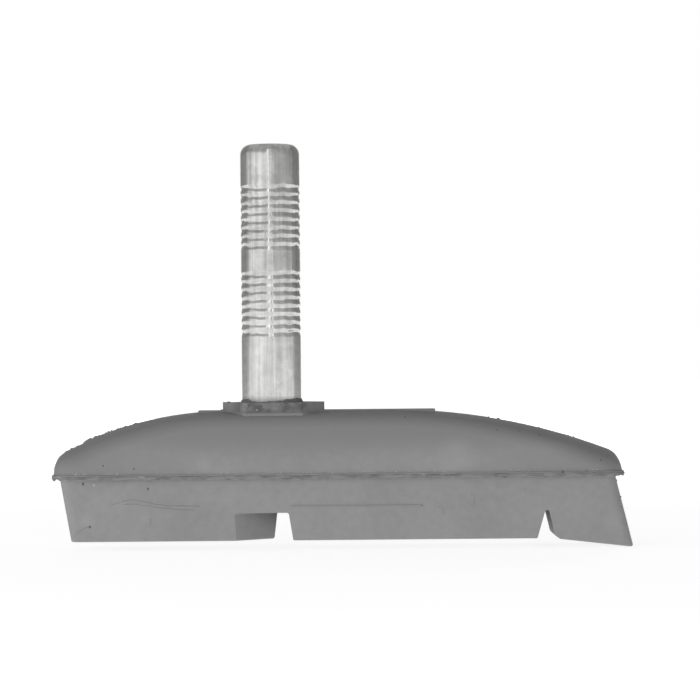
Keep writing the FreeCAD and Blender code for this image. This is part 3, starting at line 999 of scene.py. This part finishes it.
    def weather(self, corner: bmesh.types.BMVert, reach: float) -> None:
        """Sink one corner of the shank by its ring and its dent.

        Args:
            corner: The corner, moved here.
            reach: Its distance from the axis in metres.
        """
        around = math.degrees(math.atan2(corner.co.x, -corner.co.y))
        sink = self.ring_sink(around, corner.co.z / MM)
        flattened = Vector((corner.co.x, corner.co.y, corner.co.z * self.dent_flatness))
        long_dent = noise.noise(flattened / (self.dent_mm * MM))
        fine_dent = noise.noise(corner.co / (self.fine_dent_mm * MM))
        sink += self.dent * (self.dent_level + long_dent + self.fine_dent_share * fine_dent)
        share = max(0.0, reach - sink * MM) / reach
        corner.co.x *= share
        corner.co.y *= share


@dataclass
class PostFlash:
    """The ragged collar of flash that climbed the post while the rubber was moulded round it.

    Sizes are in millimetres. The heights go round the post by azimuth in degrees, 0 at the front and 90 at
    the right. On its way up the skin thins out, in lumps.
    """

    material: bpy.types.Material
    post_radius: float = 3.5
    gap: float = 0.01
    thickness: float = 0.2
    foot: float = -0.12
    least_height: float = 0.03
    ragged: float = 0.16
    wave_mm: float = 0.8
    wave_finer: float = 2.7
    taper: float = 0.75
    lump: float = 0.25
    lump_mm: float = 0.5
    least_thickness: float = 0.15
    outer_share: float = 1.005
    heights: tuple[tuple[float, float], ...] = (
        (-180.0, 0.30),
        (-130.0, 0.45),
        (-95.0, 0.26),
        (-62.0, 0.34),
        (-38.0, 0.14),
        (-12.0, 0.02),
        (12.0, 0.10),
        (30.0, 0.30),
        (55.0, 0.48),
        (88.0, 0.42),
        (130.0, 0.22),
        (180.0, 0.30),
    )
    turns: int = 216
    rows: int = 4

    def height(self, point: Vector) -> float:
        """Find how far the flash climbs at one place round the post.

        Args:
            point: The place, in metres.

        Returns:
            The height in millimetres.
        """
        around = math.degrees(math.atan2(point.x, -point.y))
        level = self.heights[-1][1]
        for (start, low), (finish, high) in zip(self.heights, self.heights[1:]):
            if start <= around < finish:
                level = low + (high - low) * (around - start) / (finish - start)
        place = Vector((point.x, point.y, 0.0)).normalized() * self.post_radius / self.wave_mm
        return max(self.least_height, level + self.ragged * torn(place, self.wave_finer))

    def build(self) -> bpy.types.Object:
        """Build the flash.

        Returns:
            The finished piece.
        """
        mesh = bmesh.new()
        inner = (self.post_radius + self.gap) * MM
        bmesh.ops.create_circle(mesh, segments=self.turns, radius=inner, cap_ends=False)
        bmesh.ops.translate(mesh, verts=mesh.verts, vec=UP * (self.foot * MM))
        edges = list(mesh.edges)
        for row in range(1, self.rows + 1):
            grown = bmesh.ops.extrude_edge_only(mesh, edges=edges)["geom"]
            edges = only(grown, bmesh.types.BMEdge)
            for corner in only(grown, bmesh.types.BMVert):
                top = self.height(corner.co)
                corner.co.z = (self.foot + (top - self.foot) * row / self.rows) * MM
        bmesh.ops.recalc_face_normals(mesh, faces=mesh.faces)
        bmesh.ops.solidify(mesh, geom=mesh.faces, thickness=-self.thickness * MM)
        for corner in mesh.verts:
            reach = math.hypot(corner.co.x, corner.co.y)
            if reach > inner * self.outer_share:
                top = self.height(corner.co)
                share = max(0.0, min(1.0, corner.co.z / (top * MM)))
                lump = self.lump * noise.noise(corner.co / (self.lump_mm * MM))
                full = max(self.least_thickness, 1.0 - self.taper * share + lump)
                wanted = inner + self.thickness * MM * full
                corner.co.x *= wanted / reach
                corner.co.y *= wanted / reach
        bmesh.ops.recalc_face_normals(mesh, faces=mesh.faces)
        return Piece("post_foot_flash", Slot.RUBBER, self.material).place(mesh)


@dataclass
class LipFlash:
    """The torn bead along the lip, where the mould's halves met.

    Sizes are in millimetres. Each row says how far it rises and how far it goes out from the one before.
    """

    solids: Solids
    material: bpy.types.Material
    level: float = -8.40
    cut_below: float = 0.05
    start_rise: float = 0.1
    start_out: float = -0.02
    rows: tuple[tuple[float, float], ...] = ((-0.10, 0.07), (-0.10, 0.03), (-0.12, -0.02), (-0.12, -0.08))
    step_mm: float = 0.2
    thickness: float = 0.05

    # How it is torn, and where it thins out at the left end.
    tear_mm: float = 1.3
    tear_finer: float = 3.0
    ragged_finer: float = 1.7
    ragged_from: float = 7.0
    out_level: float = 0.75
    out_spread: float = 1.1
    rise_spread: float = 0.7
    thin_from: float = -19.5
    thin_to: float = -22.5
    thin_least: float = 0.25

    # The pad's middle line, from which the bead goes out, and the box that holds the cavity round the metal.
    middle_x: float = 8.0
    half_length: float = 30.0
    half_width: float = 3.5
    cavity_side: float = 5.5
    cavity_left: float = -24.5
    cavity_right: float = 40.0

    def build(self) -> bpy.types.Object:
        """Build the bead from the rubber's own outline at the mould's joint.

        Returns:
            The finished piece.
        """
        mesh = self.solids.merged(Node.RUBBER)
        cut = bmesh.ops.bisect_plane(
            mesh,
            geom=list(mesh.verts) + list(mesh.edges) + list(mesh.faces),
            plane_co=UP * ((self.level - self.cut_below) * MM),
            plane_no=UP,
            dist=FLAT_M,
        )["geom_cut"]
        kept = {edge for edge in only(cut, bmesh.types.BMEdge) if self.is_outer(edge)}
        bmesh.ops.delete(mesh, geom=list(mesh.faces), context="FACES_ONLY")
        loose = [edge for edge in mesh.edges if edge not in kept]
        bmesh.ops.delete(mesh, geom=loose, context="EDGES")
        alone = [corner for corner in mesh.verts if not corner.link_edges]
        bmesh.ops.delete(mesh, geom=alone, context="VERTS")
        while True:
            long_edges = [edge for edge in mesh.edges if edge.calc_length() > self.step_mm * MM]
            if not long_edges:
                break
            bmesh.ops.subdivide_edges(mesh, edges=long_edges, cuts=1)
        for corner in mesh.verts:
            self.move(corner, self.start_rise, self.start_out)
        edges = list(mesh.edges)
        for rise, out in self.rows:
            grown = bmesh.ops.extrude_edge_only(mesh, edges=edges)["geom"]
            edges = only(grown, bmesh.types.BMEdge)
            for corner in only(grown, bmesh.types.BMVert):
                self.move(corner, rise, out)
        bmesh.ops.recalc_face_normals(mesh, faces=mesh.faces)
        bmesh.ops.solidify(mesh, geom=mesh.faces, thickness=self.thickness * MM)
        bmesh.ops.recalc_face_normals(mesh, faces=mesh.faces)
        return Piece("lip_torn_flash", Slot.RUBBER, self.material).place(mesh)

    def move(self, corner: bmesh.types.BMVert, rise: float, out: float) -> None:
        """Move one corner of the bead, more or less as the skin is torn there.

        Args:
            corner: The corner.
            rise: How far up it goes, in millimetres.
            out: How far it goes away from the pad, in millimetres.
        """
        flat = Vector((corner.co.x, corner.co.y, 0.0)) / (self.tear_mm * MM)
        ragged = noise.noise(flat * self.ragged_finer + UP * self.ragged_from)
        thin = (corner.co.x / MM - self.thin_to) / (self.thin_from - self.thin_to)
        full = max(self.thin_least, min(1.0, thin))
        away = corner.co - Vector((self.middle_x, 0.0, self.level)) * MM
        away.x = math.copysign(max(0.0, abs(away.x) - self.half_length * MM), away.x)
        away.y = math.copysign(max(0.0, abs(away.y) - self.half_width * MM), away.y)
        away.z = 0.0
        if away.length > 0:
            share = self.out_level + self.out_spread * torn(flat, self.tear_finer)
            corner.co += away.normalized() * out * share * full * MM
        corner.co.z += rise * (1.0 + self.rise_spread * ragged) * MM

    def is_outer(self, edge: bmesh.types.BMEdge) -> bool:
        """Tell the outline's edges from those of the metal's cavity.

        Args:
            edge: An edge of the cut.

        Returns:
            True where the edge lies on the rubber's outer side.
        """
        point = (edge.verts[0].co + edge.verts[1].co) / 2
        beyond_end = point.x < self.cavity_left * MM or point.x > self.cavity_right * MM
        return abs(point.y) > self.cavity_side * MM or beyond_end


@dataclass
class FlowCreases:
    """Fine raised creases where two fronts of rubber met in the mould, and one scratch beside the collar.

    Sizes are in millimetres, and each line is given by where it is seen from the front.
    """

    solids: Solids
    material: bpy.types.Material
    eye: Vector
    width: float = 0.11
    proud: float = 0.035
    sunk: float = 0.06
    step_mm: float = 0.35
    end_mm: float = 0.8
    end_share: float = 0.25
    uneven: float = 0.6
    uneven_mm: float = 0.9
    lines: tuple[tuple[tuple[float, float], ...], ...] = (
        (
            (-18.97, -11.98),
            (-17.78, -11.66),
            (-16.76, -11.38),
            (-15.72, -11.57),
            (-14.73, -11.76),
            (-13.73, -12.03),
            (-12.71, -12.11),
            (-11.23, -12.20),
            (-9.76, -12.25),
            (-8.65, -12.23),
        ),
        (
            (-17.79, -11.99),
            (-16.38, -11.93),
            (-14.91, -12.12),
            (-13.44, -12.43),
            (-11.60, -12.60),
            (-9.41, -12.69),
        ),
        ((-14.49, -13.67), (-14.43, -14.14), (-14.50, -14.73)),
        ((6.38, -1.18), (6.85, -1.48), (7.31, -1.89)),
        ((-23.59, -15.83), (-22.75, -15.02), (-21.81, -14.55), (-21.46, -15.03)),
        ((23.27, -11.05), (23.70, -11.40), (23.86, -11.77), (23.72, -12.10), (23.38, -12.47)),
    )

    def build(self) -> bpy.types.Object:
        """Build all the creases as one piece.

        Returns:
            The finished piece.
        """
        rubber = self.solids.merged(Node.RUBBER)
        tree = BVHTree.FromBMesh(rubber)
        mesh = bmesh.new()
        for line in self.lines:
            self.add_line(mesh, tree, line)
        rubber.free()
        bmesh.ops.recalc_face_normals(mesh, faces=mesh.faces)
        bmesh.ops.solidify(mesh, geom=mesh.faces, thickness=self.sunk * MM)
        bmesh.ops.recalc_face_normals(mesh, faces=mesh.faces)
        return Piece("flow_creases", Slot.RUBBER, self.material).place(mesh)

    def add_line(
        self, mesh: bmesh.types.BMesh, tree: BVHTree, line: tuple[tuple[float, float], ...]
    ) -> None:
        """Add one crease as a narrow ribbon on the rubber, thin at both ends.

        Args:
            mesh: The piece that the crease goes into.
            tree: The rubber's faces.
            line: Where it is seen from the front.
        """
        path = [Vector((across, 0.0, up)) * MM for across, up in line]
        corners = [mesh.verts.new(point) for point in path]
        edges = [mesh.edges.new(pair) for pair in zip(corners, corners[1:])]
        while True:
            long_edges = [edge for edge in edges if edge.calc_length() > self.step_mm * MM]
            if not long_edges:
                break
            split = bmesh.ops.subdivide_edges(mesh, edges=long_edges, cuts=1)["geom_inner"]
            fresh = set(only(split, bmesh.types.BMEdge))
            for corner in only(split, bmesh.types.BMVert):
                fresh.update(corner.link_edges)
            edges = [edge for edge in edges if edge.is_valid and edge not in fresh] + list(fresh)
        grown = bmesh.ops.extrude_edge_only(mesh, edges=edges)["geom"]
        low = set(only(grown, bmesh.types.BMVert))
        both = low | {end for edge in edges for end in edge.verts}
        first, last = path[0], path[-1]
        upright = abs(last.z - first.z) > abs(last.x - first.x)
        shift = Vector((1.0, 0.0, 0.0)) if upright else UP
        for corner in both:
            ends = min((corner.co - first).length, (corner.co - last).length) / (self.end_mm * MM)
            wavy = 1.0 + self.uneven * noise.noise(corner.co / (self.uneven_mm * MM))
            thick = min(1.0, self.end_share + ends) * wavy
            aim = corner.co + shift * self.width * thick * MM * (-0.5 if corner in low else 0.5)
            point, normal, _, _ = tree.ray_cast(self.eye, (aim - self.eye).normalized())
            if point is not None:
                corner.co = point + normal * self.proud * MM


@dataclass(frozen=True)
class Speck:
    """One small mark on the rubber, by where it is seen from the front, in millimetres."""

    x: float
    z: float
    radius: float
    kind: Mark


@dataclass
class SurfaceMarks:
    """The small marks on the rubber: dark specks, low blisters, crumbs of flash and grains of dust.

    Sizes are in millimetres. A pair of numbers is a range that a random draw is taken from.
    """

    solids: Solids
    finishes: dict[Mark, bpy.types.Material]
    eye: Vector
    grain_shape: tuple[float, float, float] = (1.0, 1.25, 0.3)
    blister_shape: tuple[float, float, float] = (1.0, 1.25, 0.36)
    blister_sunk: float = 0.25
    crumb_shape: tuple[float, float, float] = (1.6, 1.0, 0.8)
    specks: tuple[Speck, ...] = (
        Speck(15.68, -1.91, 0.10, Mark.PIT),
        Speck(26.52, -3.53, 0.09, Mark.PIT),
        Speck(29.11, -3.67, 0.09, Mark.PIT),
        Speck(31.47, -4.17, 0.09, Mark.PIT),
        Speck(38.75, -7.18, 0.10, Mark.PIT),
        Speck(-22.35, -9.48, 0.15, Mark.PIT),
        Speck(-21.57, -14.55, 0.13, Mark.PIT),
        Speck(-14.70, -10.13, 0.13, Mark.PIT),
        Speck(-19.98, -7.37, 0.10, Mark.PIT),
        Speck(-16.33, -7.76, 0.10, Mark.PIT),
        Speck(-1.17, -0.89, 0.12, Mark.PIT),
        Speck(19.72, -13.03, 0.85, Mark.BLISTER),
        Speck(-8.60, -13.40, 0.30, Mark.BLISTER),
        Speck(29.60, -10.60, 0.26, Mark.BLISTER),
        Speck(-2.70, -0.39, 0.16, Mark.PIT),
        Speck(-1.76, -0.93, 0.08, Mark.DUST),
        Speck(-1.28, -0.52, 0.15, Mark.PIT),
        Speck(34.26, -8.61, 0.17, Mark.PIT),
        Speck(32.61, -8.54, 0.14, Mark.CRUMB),
        Speck(37.09, -8.52, 0.13, Mark.CRUMB),
        Speck(21.88, -8.68, 0.12, Mark.CRUMB),
        Speck(27.42, -8.79, 0.12, Mark.CRUMB),
        Speck(-12.40, -8.80, 0.13, Mark.CRUMB),
        Speck(-10.10, -8.84, 0.12, Mark.CRUMB),
        Speck(-14.57, -8.84, 0.16, Mark.PIT),
        Speck(-13.27, -8.85, 0.14, Mark.PIT),
        Speck(-11.15, -8.87, 0.15, Mark.PIT),
        Speck(-7.73, -8.78, 0.14, Mark.PIT),
        Speck(-21.06, -9.60, 0.13, Mark.DUST),
    )

    # The dust along the lip.
    dust_level: float = -8.36
    dust_count: int = 64
    dust_from: float = -23.5
    dust_run: float = 62.0
    dust_crowding: float = 1.6
    dust_rise: tuple[float, float] = (-0.05, 0.07)
    dust_radius: tuple[float, float] = (0.035, 0.07)

    # The crumbs on the ridge, in runs along the pad, and the bits down the heel's end. Both are found from
    # points clear of the pad.
    edge_runs: tuple[tuple[float, float], ...] = (
        (-24.7, -22.4),
        (-22.0, -16.1),
        (-6.2, -4.4),
        (24.5, 36.0),
    )
    edge_counts: tuple[int, ...] = (4, 24, 4, 8)
    edge_across: tuple[float, float] = (-1.6, 1.0)
    edge_radius: tuple[float, float] = (0.09, 0.17)
    end_count: int = 14
    end_across: tuple[float, float] = (-5.8, -4.4)
    end_level: tuple[float, float] = (-15.0, -9.4)
    end_radius: tuple[float, float] = (0.07, 0.14)
    clear_height: float = 10.0
    clear_length: float = 60.0
    seed: int = 11

    def build(self) -> list[bpy.types.Object]:
        """Build one piece for each kind of mark.

        The crumbs on the ridge and the heel's end have the rubber's own finish, so they go with the blisters.

        Returns:
            The finished pieces.
        """
        rubber = self.solids.merged(Node.RUBBER)
        tree = BVHTree.FromBMesh(rubber)
        made = []
        for kind in Mark:
            mesh = bmesh.new()
            for speck in self.specks:
                if speck.kind is kind:
                    self.add_speck(mesh, tree, speck)
            if kind is Mark.DUST:
                self.add_dust_row(mesh, tree)
            if kind is Mark.BLISTER:
                self.add_edge_crumbs(mesh, tree)
                self.add_end_crumbs(mesh, tree)
            made.append(Piece(f"mould_{kind.value}s", Slot.RUBBER, self.finishes[kind]).place(mesh))
        rubber.free()
        return made

    def add_speck(self, mesh: bmesh.types.BMesh, tree: BVHTree, speck: Speck) -> None:
        """Add one flattened grain, half sunk in the rubber where the eye sees it.

        Args:
            mesh: The piece that the grain goes into.
            tree: The rubber's faces.
            speck: The mark.
        """
        aim = Vector((speck.x, 0.0, speck.z)) * MM
        point, normal, _, _ = tree.ray_cast(self.eye, (aim - self.eye).normalized())
        if point is None:
            log.warning("no rubber behind the mark at %.2f, %.2f", speck.x, speck.z)
            return
        if speck.kind is Mark.BLISTER:
            low = self.blister_sunk * speck.radius * MM
            self.add_grain(mesh, point - normal * low, normal, speck.radius, self.blister_shape)
        else:
            self.add_grain(mesh, point, normal, speck.radius, self.grain_shape)

    @staticmethod
    def add_grain(
        mesh: bmesh.types.BMesh,
        point: Vector,
        normal: Vector,
        radius: float,
        shape: tuple[float, float, float],
    ) -> None:
        """Add one rounded grain, half sunk where it lies.

        Args:
            mesh: The piece that the grain goes into.
            point: Its place on the rubber.
            normal: The way that the rubber faces there.
            radius: Its size in millimetres.
            shape: How it is stretched along, across and away from the rubber.
        """
        turn = normal.to_track_quat("Z", "Y").to_matrix().to_4x4()
        bmesh.ops.create_icosphere(
            mesh,
            subdivisions=2,
            radius=radius * MM,
            matrix=Matrix.Translation(point) @ turn @ Matrix.Diagonal((*shape, 1.0)),
        )

    def add_dust_row(self, mesh: bmesh.types.BMesh, tree: BVHTree) -> None:
        """Add the pale grains that lie along the lip, most of them at its left.

        Args:
            mesh: The piece that the grains go into.
            tree: The rubber's faces.
        """
        chance = random.Random(self.seed)
        for _ in range(self.dust_count):
            across = self.dust_from + self.dust_run * chance.random() ** self.dust_crowding
            up = self.dust_level + chance.uniform(*self.dust_rise)
            radius = chance.uniform(*self.dust_radius)
            self.add_speck(mesh, tree, Speck(across, up, radius, Mark.DUST))

    def add_edge_crumbs(self, mesh: bmesh.types.BMesh, tree: BVHTree) -> None:
        """Add the crumbs that stayed on the ridge, most of them over the trimmed end.

        Args:
            mesh: The piece that the crumbs go into.
            tree: The rubber's faces.
        """
        chance = random.Random(self.seed)
        for (start, finish), count in zip(self.edge_runs, self.edge_counts):
            for _ in range(count):
                across = chance.uniform(start, finish)
                above = Vector((across, chance.uniform(*self.edge_across), self.clear_height)) * MM
                point, normal, _, _ = tree.ray_cast(above, -UP)
                if point is not None:
                    radius = chance.uniform(*self.edge_radius)
                    self.add_grain(mesh, point, normal, radius, self.crumb_shape)

    def add_end_crumbs(self, mesh: bmesh.types.BMesh, tree: BVHTree) -> None:
        """Add the small ragged bits down the front edge of the heel's end.

        Args:
            mesh: The piece that the bits go into.
            tree: The rubber's faces.
        """
        chance = random.Random(self.seed)
        for _ in range(self.end_count):
            aside = chance.uniform(*self.end_across)
            beyond = Vector((self.clear_length, aside, chance.uniform(*self.end_level))) * MM
            point, normal, _, _ = tree.ray_cast(beyond, Vector((-1.0, 0.0, 0.0)))
            if point is not None:
                radius = chance.uniform(*self.end_radius)
                self.add_grain(mesh, point, normal, radius, self.crumb_shape)


@dataclass(frozen=True)
class Card:
    """A grey card beside or over the pad, which only shows as a reflection, in degrees and metres."""

    azimuth: float
    elevation: float
    distance: float
    width: float
    height: float
    shade: str
    strength: float = 1.0


@dataclass(frozen=True)
class Lamp:
    """A soft square lamp that faces the pad and doesn't show itself, in degrees, metres and watts."""

    name: str
    azimuth: float
    elevation: float
    distance: float
    side: float
    power: float


def direction(azimuth: float, elevation: float) -> Vector:
    """Give the way from the pad to something round it.

    Args:
        azimuth: Degrees to the right of the camera's side.
        elevation: Degrees above the horizon.

    Returns:
        A vector of length 1.
    """
    around = math.radians(azimuth)
    up = math.radians(elevation)
    return Vector((math.sin(around) * math.cos(up), -math.cos(around) * math.cos(up), math.sin(up)))


@dataclass
class Studio:
    """The camera, the lamps, the white room and the pale floor.

    Sizes are in millimetres as in the solids, but those of the lamps, the cards, the floor's sheet and the
    camera's clipping are in metres.
    """

    distance: float = 400.0
    aim_x: float = 9.27
    aim_z: float = 6.05
    roll: float = 0.5
    lens: float = 174.45
    film_width: float = 36.0
    clip_m: tuple[float, float] = (0.01, 20.0)
    floor_level: float = -17.12
    floor_half_m: float = 2.0
    room_light: float = 0.3
    ceiling_shade: str = "#B6B6B6"
    dim_from: float = 0.1
    dim_to: float = 0.45
    floor_shade: str = "#E6E6E6"
    floor_tint: str = "#A6A6A6"
    floor_glow: float = 0.965
    glow_near_pad: float = 0.8
    near_mm: float = 90.0
    far_mm: float = 260.0
    floor_in_mirror: float = 0.8
    lamps: tuple[Lamp, ...] = (
        Lamp("front_key", -2.0, 3.0, 0.75, 0.45, 2.05),
        Lamp("left_front", -45.0, 5.0, 0.3, 0.2, 0.26),
        Lamp("back_fill", 172.0, 4.0, 0.75, 0.45, 3.6),
        Lamp("left_fill", -90.0, 8.0, 0.75, 0.45, 1.0),
        Lamp("right_fill", 90.0, 8.0, 0.75, 0.45, 0.6),
    )
    bounce_side: float = 1.0
    bounce_lift: float = 0.05
    bounce_power: float = 2.25
    cards: tuple[Card, ...] = (
        Card(-130.0, 8.0, 0.5, 0.62, 0.7, "#989898"),
        Card(-82.0, 1.0, 0.5, 0.26, 0.22, "#F0F0F0"),
        Card(-46.0, 1.0, 0.5, 0.36, 0.22, "#FCFCFC", 1.1),
        Card(36.0, 30.0, 0.5, 0.44, 0.54, "#BEBEBE"),
        Card(78.0, 30.0, 0.5, 0.36, 0.54, "#ACACAC"),
        Card(129.0, 8.0, 0.5, 0.62, 0.7, "#8A8A8A"),
        Card(-6.0, -1.0, 0.47, 0.19, 0.10, "#DEDEDE"),
        Card(-98.0, 1.0, 0.49, 0.12, 0.22, "#BEBEBE"),
        Card(99.0, 8.0, 0.49, 0.10, 0.7, "#9C9C9C"),
        Card(-3.5, 34.0, 0.48, 0.11, 0.36, "#FFFFFF", 1.5),
        Card(-4.5, 8.5, 0.48, 0.04, 0.06, "#FFFFFF", 1.7),
    )

    def eye(self) -> Vector:
        """Give the camera's place in metres."""
        return Vector((self.aim_x, -self.distance, self.aim_z)) * MM

    def set_camera(self) -> None:
        """Set a level camera square to the pad's long side."""
        data = bpy.data.cameras.new("camera")
        data.lens = self.lens
        data.sensor_width = self.film_width
        data.clip_start, data.clip_end = self.clip_m
        camera = bpy.data.objects.new("camera", data)
        camera.location = self.eye()
        camera.rotation_euler = (math.radians(90.0), math.radians(self.roll), 0.0)
        bpy.context.scene.collection.objects.link(camera)
        bpy.context.scene.camera = camera

    @staticmethod
    def add_lamp(data: bpy.types.AreaLight, place: Vector, way: Vector) -> None:
        """Put a lamp in the scene that lights but doesn't show.

        Args:
            data: The lamp's light.
            place: Its centre, in metres.
            way: The way that it faces.
        """
        lamp = bpy.data.objects.new(data.name, data)
        lamp.location = place
        lamp.rotation_euler = way.to_track_quat("-Z", "Y").to_euler()
        lamp.visible_camera = False
        lamp.visible_glossy = False
        bpy.context.scene.collection.objects.link(lamp)

    def hang_lamps(self) -> None:
        """Hang the soft lamps, and lay the one that stands for the light that white paper throws back up."""
        aim = Vector((self.aim_x, 0.0, 0.0)) * MM
        for lamp in self.lamps:
            data = bpy.data.lights.new(lamp.name, "AREA")
            data.energy = lamp.power
            data.size = lamp.side
            way = direction(lamp.azimuth, lamp.elevation)
            self.add_lamp(data, aim + way * lamp.distance, -way)
        data = bpy.data.lights.new("paper_bounce", "AREA")
        data.energy = self.bounce_power
        data.size = self.bounce_side
        place = Vector((self.aim_x, 0.0, self.floor_level + self.bounce_lift)) * MM
        self.add_lamp(data, place, UP)

    def light_room(self) -> None:
        """Make the room white at eye level and dim overhead, with an even grey light for the rest.

        The dim ceiling only shows as a reflection: it gives the rings their dark upper flanks.
        """
        world = bpy.data.worlds.new("white_room")
        bpy.context.scene.world = world
        world.use_nodes = True
        tree = world.node_tree
        tree.nodes.clear()
        way = add_node(tree, "ShaderNodeTexCoord").outputs["Generated"]
        height = add_node(tree, "ShaderNodeSeparateXYZ", {0: way}).outputs["Z"]
        overhead = add_node(
            tree,
            "ShaderNodeMapRange",
            {"Value": height, "From Min": self.dim_from, "From Max": self.dim_to, "To Max": 1.0},
            interpolation_type="SMOOTHSTEP",
        )
        mirrored = add_node(tree, "ShaderNodeLightPath").outputs["Is Glossy Ray"]
        share = add_node(
            tree, "ShaderNodeMath", {0: overhead.outputs[0], 1: mirrored}, operation="MULTIPLY"
        )
        shade = add_node(
            tree,
            "ShaderNodeMix",
            {0: share.outputs[0], UNDER: PURE_WHITE, OVER: to_linear(self.ceiling_shade)},
            data_type="RGBA",
        )
        white = add_node(tree, "ShaderNodeBackground", {"Color": shade.outputs[MIXED], "Strength": 1.0})
        soft = add_node(tree, "ShaderNodeBackground", {"Color": PURE_WHITE, "Strength": self.room_light})
        room = add_node(
            tree, "ShaderNodeMixShader", {0: self.is_seen(tree), 1: soft.outputs[0], 2: white.outputs[0]}
        )
        add_node(tree, "ShaderNodeOutputWorld", {"Surface": room.outputs[0]})

    @staticmethod
    def is_seen(tree: bpy.types.NodeTree) -> bpy.types.NodeSocket:
        """Tell rays that show a thing, straight, mirrored or through glass, from those that only light.

        Args:
            tree: The tree that asks.

        Returns:
            An output that is 1 for such a ray and 0 for another.
        """
        path = add_node(tree, "ShaderNodeLightPath")
        mirrored = add_node(
            tree,
            "ShaderNodeMath",
            {0: path.outputs["Is Camera Ray"], 1: path.outputs["Is Glossy Ray"]},
            operation="MAXIMUM",
        )
        seen = add_node(
            tree,
            "ShaderNodeMath",
            {0: mirrored.outputs[0], 1: path.outputs["Is Transmission Ray"]},
            operation="MAXIMUM",
        )
        return seen.outputs[0]

    def lay_floor(self) -> None:
        """Lay a pale paper floor that shows white and keeps the pad's soft shadow.

        Its glow is lower round the pad, where the lamps reach it, so that their light makes up the white
        there and the shadow shows.
        """
        material, tree = new_material("matt_white_paper")
        paper = add_node(tree, "ShaderNodeBsdfDiffuse", {"Color": to_linear(self.floor_shade)})
        tint = add_node(tree, "ShaderNodeBsdfDiffuse", {"Color": to_linear(self.floor_tint)})
        place = add_node(tree, "ShaderNodeTexCoord").outputs["Object"]
        away = add_node(tree, "ShaderNodeVectorMath", {0: place}, operation="LENGTH")
        glow_here = add_node(
            tree,
            "ShaderNodeMapRange",
            {
                "Value": away.outputs["Value"],
                "From Min": self.near_mm * MM,
                "From Max": self.far_mm * MM,
                "To Min": self.glow_near_pad,
                "To Max": self.floor_glow,
            },
            interpolation_type="SMOOTHSTEP",
        )
        straight = add_node(tree, "ShaderNodeLightPath").outputs["Is Camera Ray"]
        power = add_node(
            tree,
            "ShaderNodeMapRange",
            {"Value": straight, "To Min": self.floor_in_mirror, "To Max": glow_here.outputs[0]},
        )
        glow = add_node(tree, "ShaderNodeEmission", {"Color": PURE_WHITE, "Strength": power.outputs[0]})
        shown = add_node(tree, "ShaderNodeAddShader", {0: tint.outputs[0], 1: glow.outputs[0]})
        both = add_node(
            tree, "ShaderNodeMixShader", {0: self.is_seen(tree), 1: paper.outputs[0], 2: shown.outputs[0]}
        )
        add_node(tree, "ShaderNodeOutputMaterial", {"Surface": both.outputs[0]})
        mesh = bmesh.new()
        bmesh.ops.create_grid(mesh, x_segments=1, y_segments=1, size=self.floor_half_m)
        bmesh.ops.translate(mesh, verts=mesh.verts, vec=UP * (self.floor_level * MM))
        add_object("paper_floor", mesh, material)

    def hang_cards(self) -> None:
        """Hang the grey cards that give the bright post its darker side and edges."""
        for number, card in enumerate(self.cards, start=1):
            name = f"grey_card_{number}"
            material, tree = new_material(name)
            plain = add_node(
                tree,
                "ShaderNodeEmission",
                {"Color": to_linear(card.shade), "Strength": card.strength},
            )
            add_node(tree, "ShaderNodeOutputMaterial", {"Surface": plain.outputs[0]})
            way = direction(card.azimuth, card.elevation)
            turn = way.to_track_quat("Z", "Y").to_matrix().to_4x4()
            shape = Matrix.Diagonal((card.width / 2, card.height / 2, 1.0, 1.0))
            mesh = bmesh.new()
            bmesh.ops.create_grid(
                mesh,
                x_segments=1,
                y_segments=1,
                size=1.0,
                matrix=Matrix.Translation(way * card.distance) @ turn @ shape,
            )
            thing = add_object(name, mesh, material)
            thing.visible_camera = False
            thing.visible_diffuse = False
            thing.visible_transmission = False
            thing.visible_shadow = False

    def build(self) -> None:
        """Set up everything round the pad."""
        scene = bpy.context.scene
        scene.view_settings.view_transform = "Standard"
        self.set_camera()
        self.light_room()
        self.lay_floor()
        self.hang_cards()
        self.hang_lamps()
        log.info("studio set")


def main() -> None:
    """Dress the pad and set the scene."""
    logging.basicConfig(level=logging.INFO, format="%(name)s: %(message)s")
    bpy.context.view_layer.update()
    studio = Studio()
    studio.build()
    rubber = MouldedRubber().build()
    flash = RubberFlash()
    solids = Solids(rubber=rubber, plated=ZincPlatedSteel().build(), blanked=BlankedSteel().build())
    solids.dress()
    # Round the post the flash gets a darker copy of the flash's finish.
    darker_flash = RubberFlash(name="brake_rubber_darker_flash", shade="#505050", pale_shade="#707070")
    finishes = {
        Mark.PIT: PlainMark("dark_speck", "#3A3A3A").build(),
        Mark.CRUMB: PlainMark("rubber_crumb", "#6A6A6A").build(),
        Mark.DUST: PlainMark("pale_dust", "#C8C8C8").build(),
        Mark.BLISTER: rubber,
    }
    pieces = [
        RingedPost(material=solids.plated).build(),
        PostFlash(material=darker_flash.build()).build(),
        LipFlash(solids=solids, material=flash.build()).build(),
        *SurfaceMarks(solids=solids, finishes=finishes, eye=studio.eye()).build(),
        FlowCreases(solids=solids, material=rubber, eye=studio.eye()).build(),
    ]
    for piece in pieces:
        log.info("%s: %d faces", piece.name, len(piece.data.polygons))


if __name__ == "__main__":
    main()
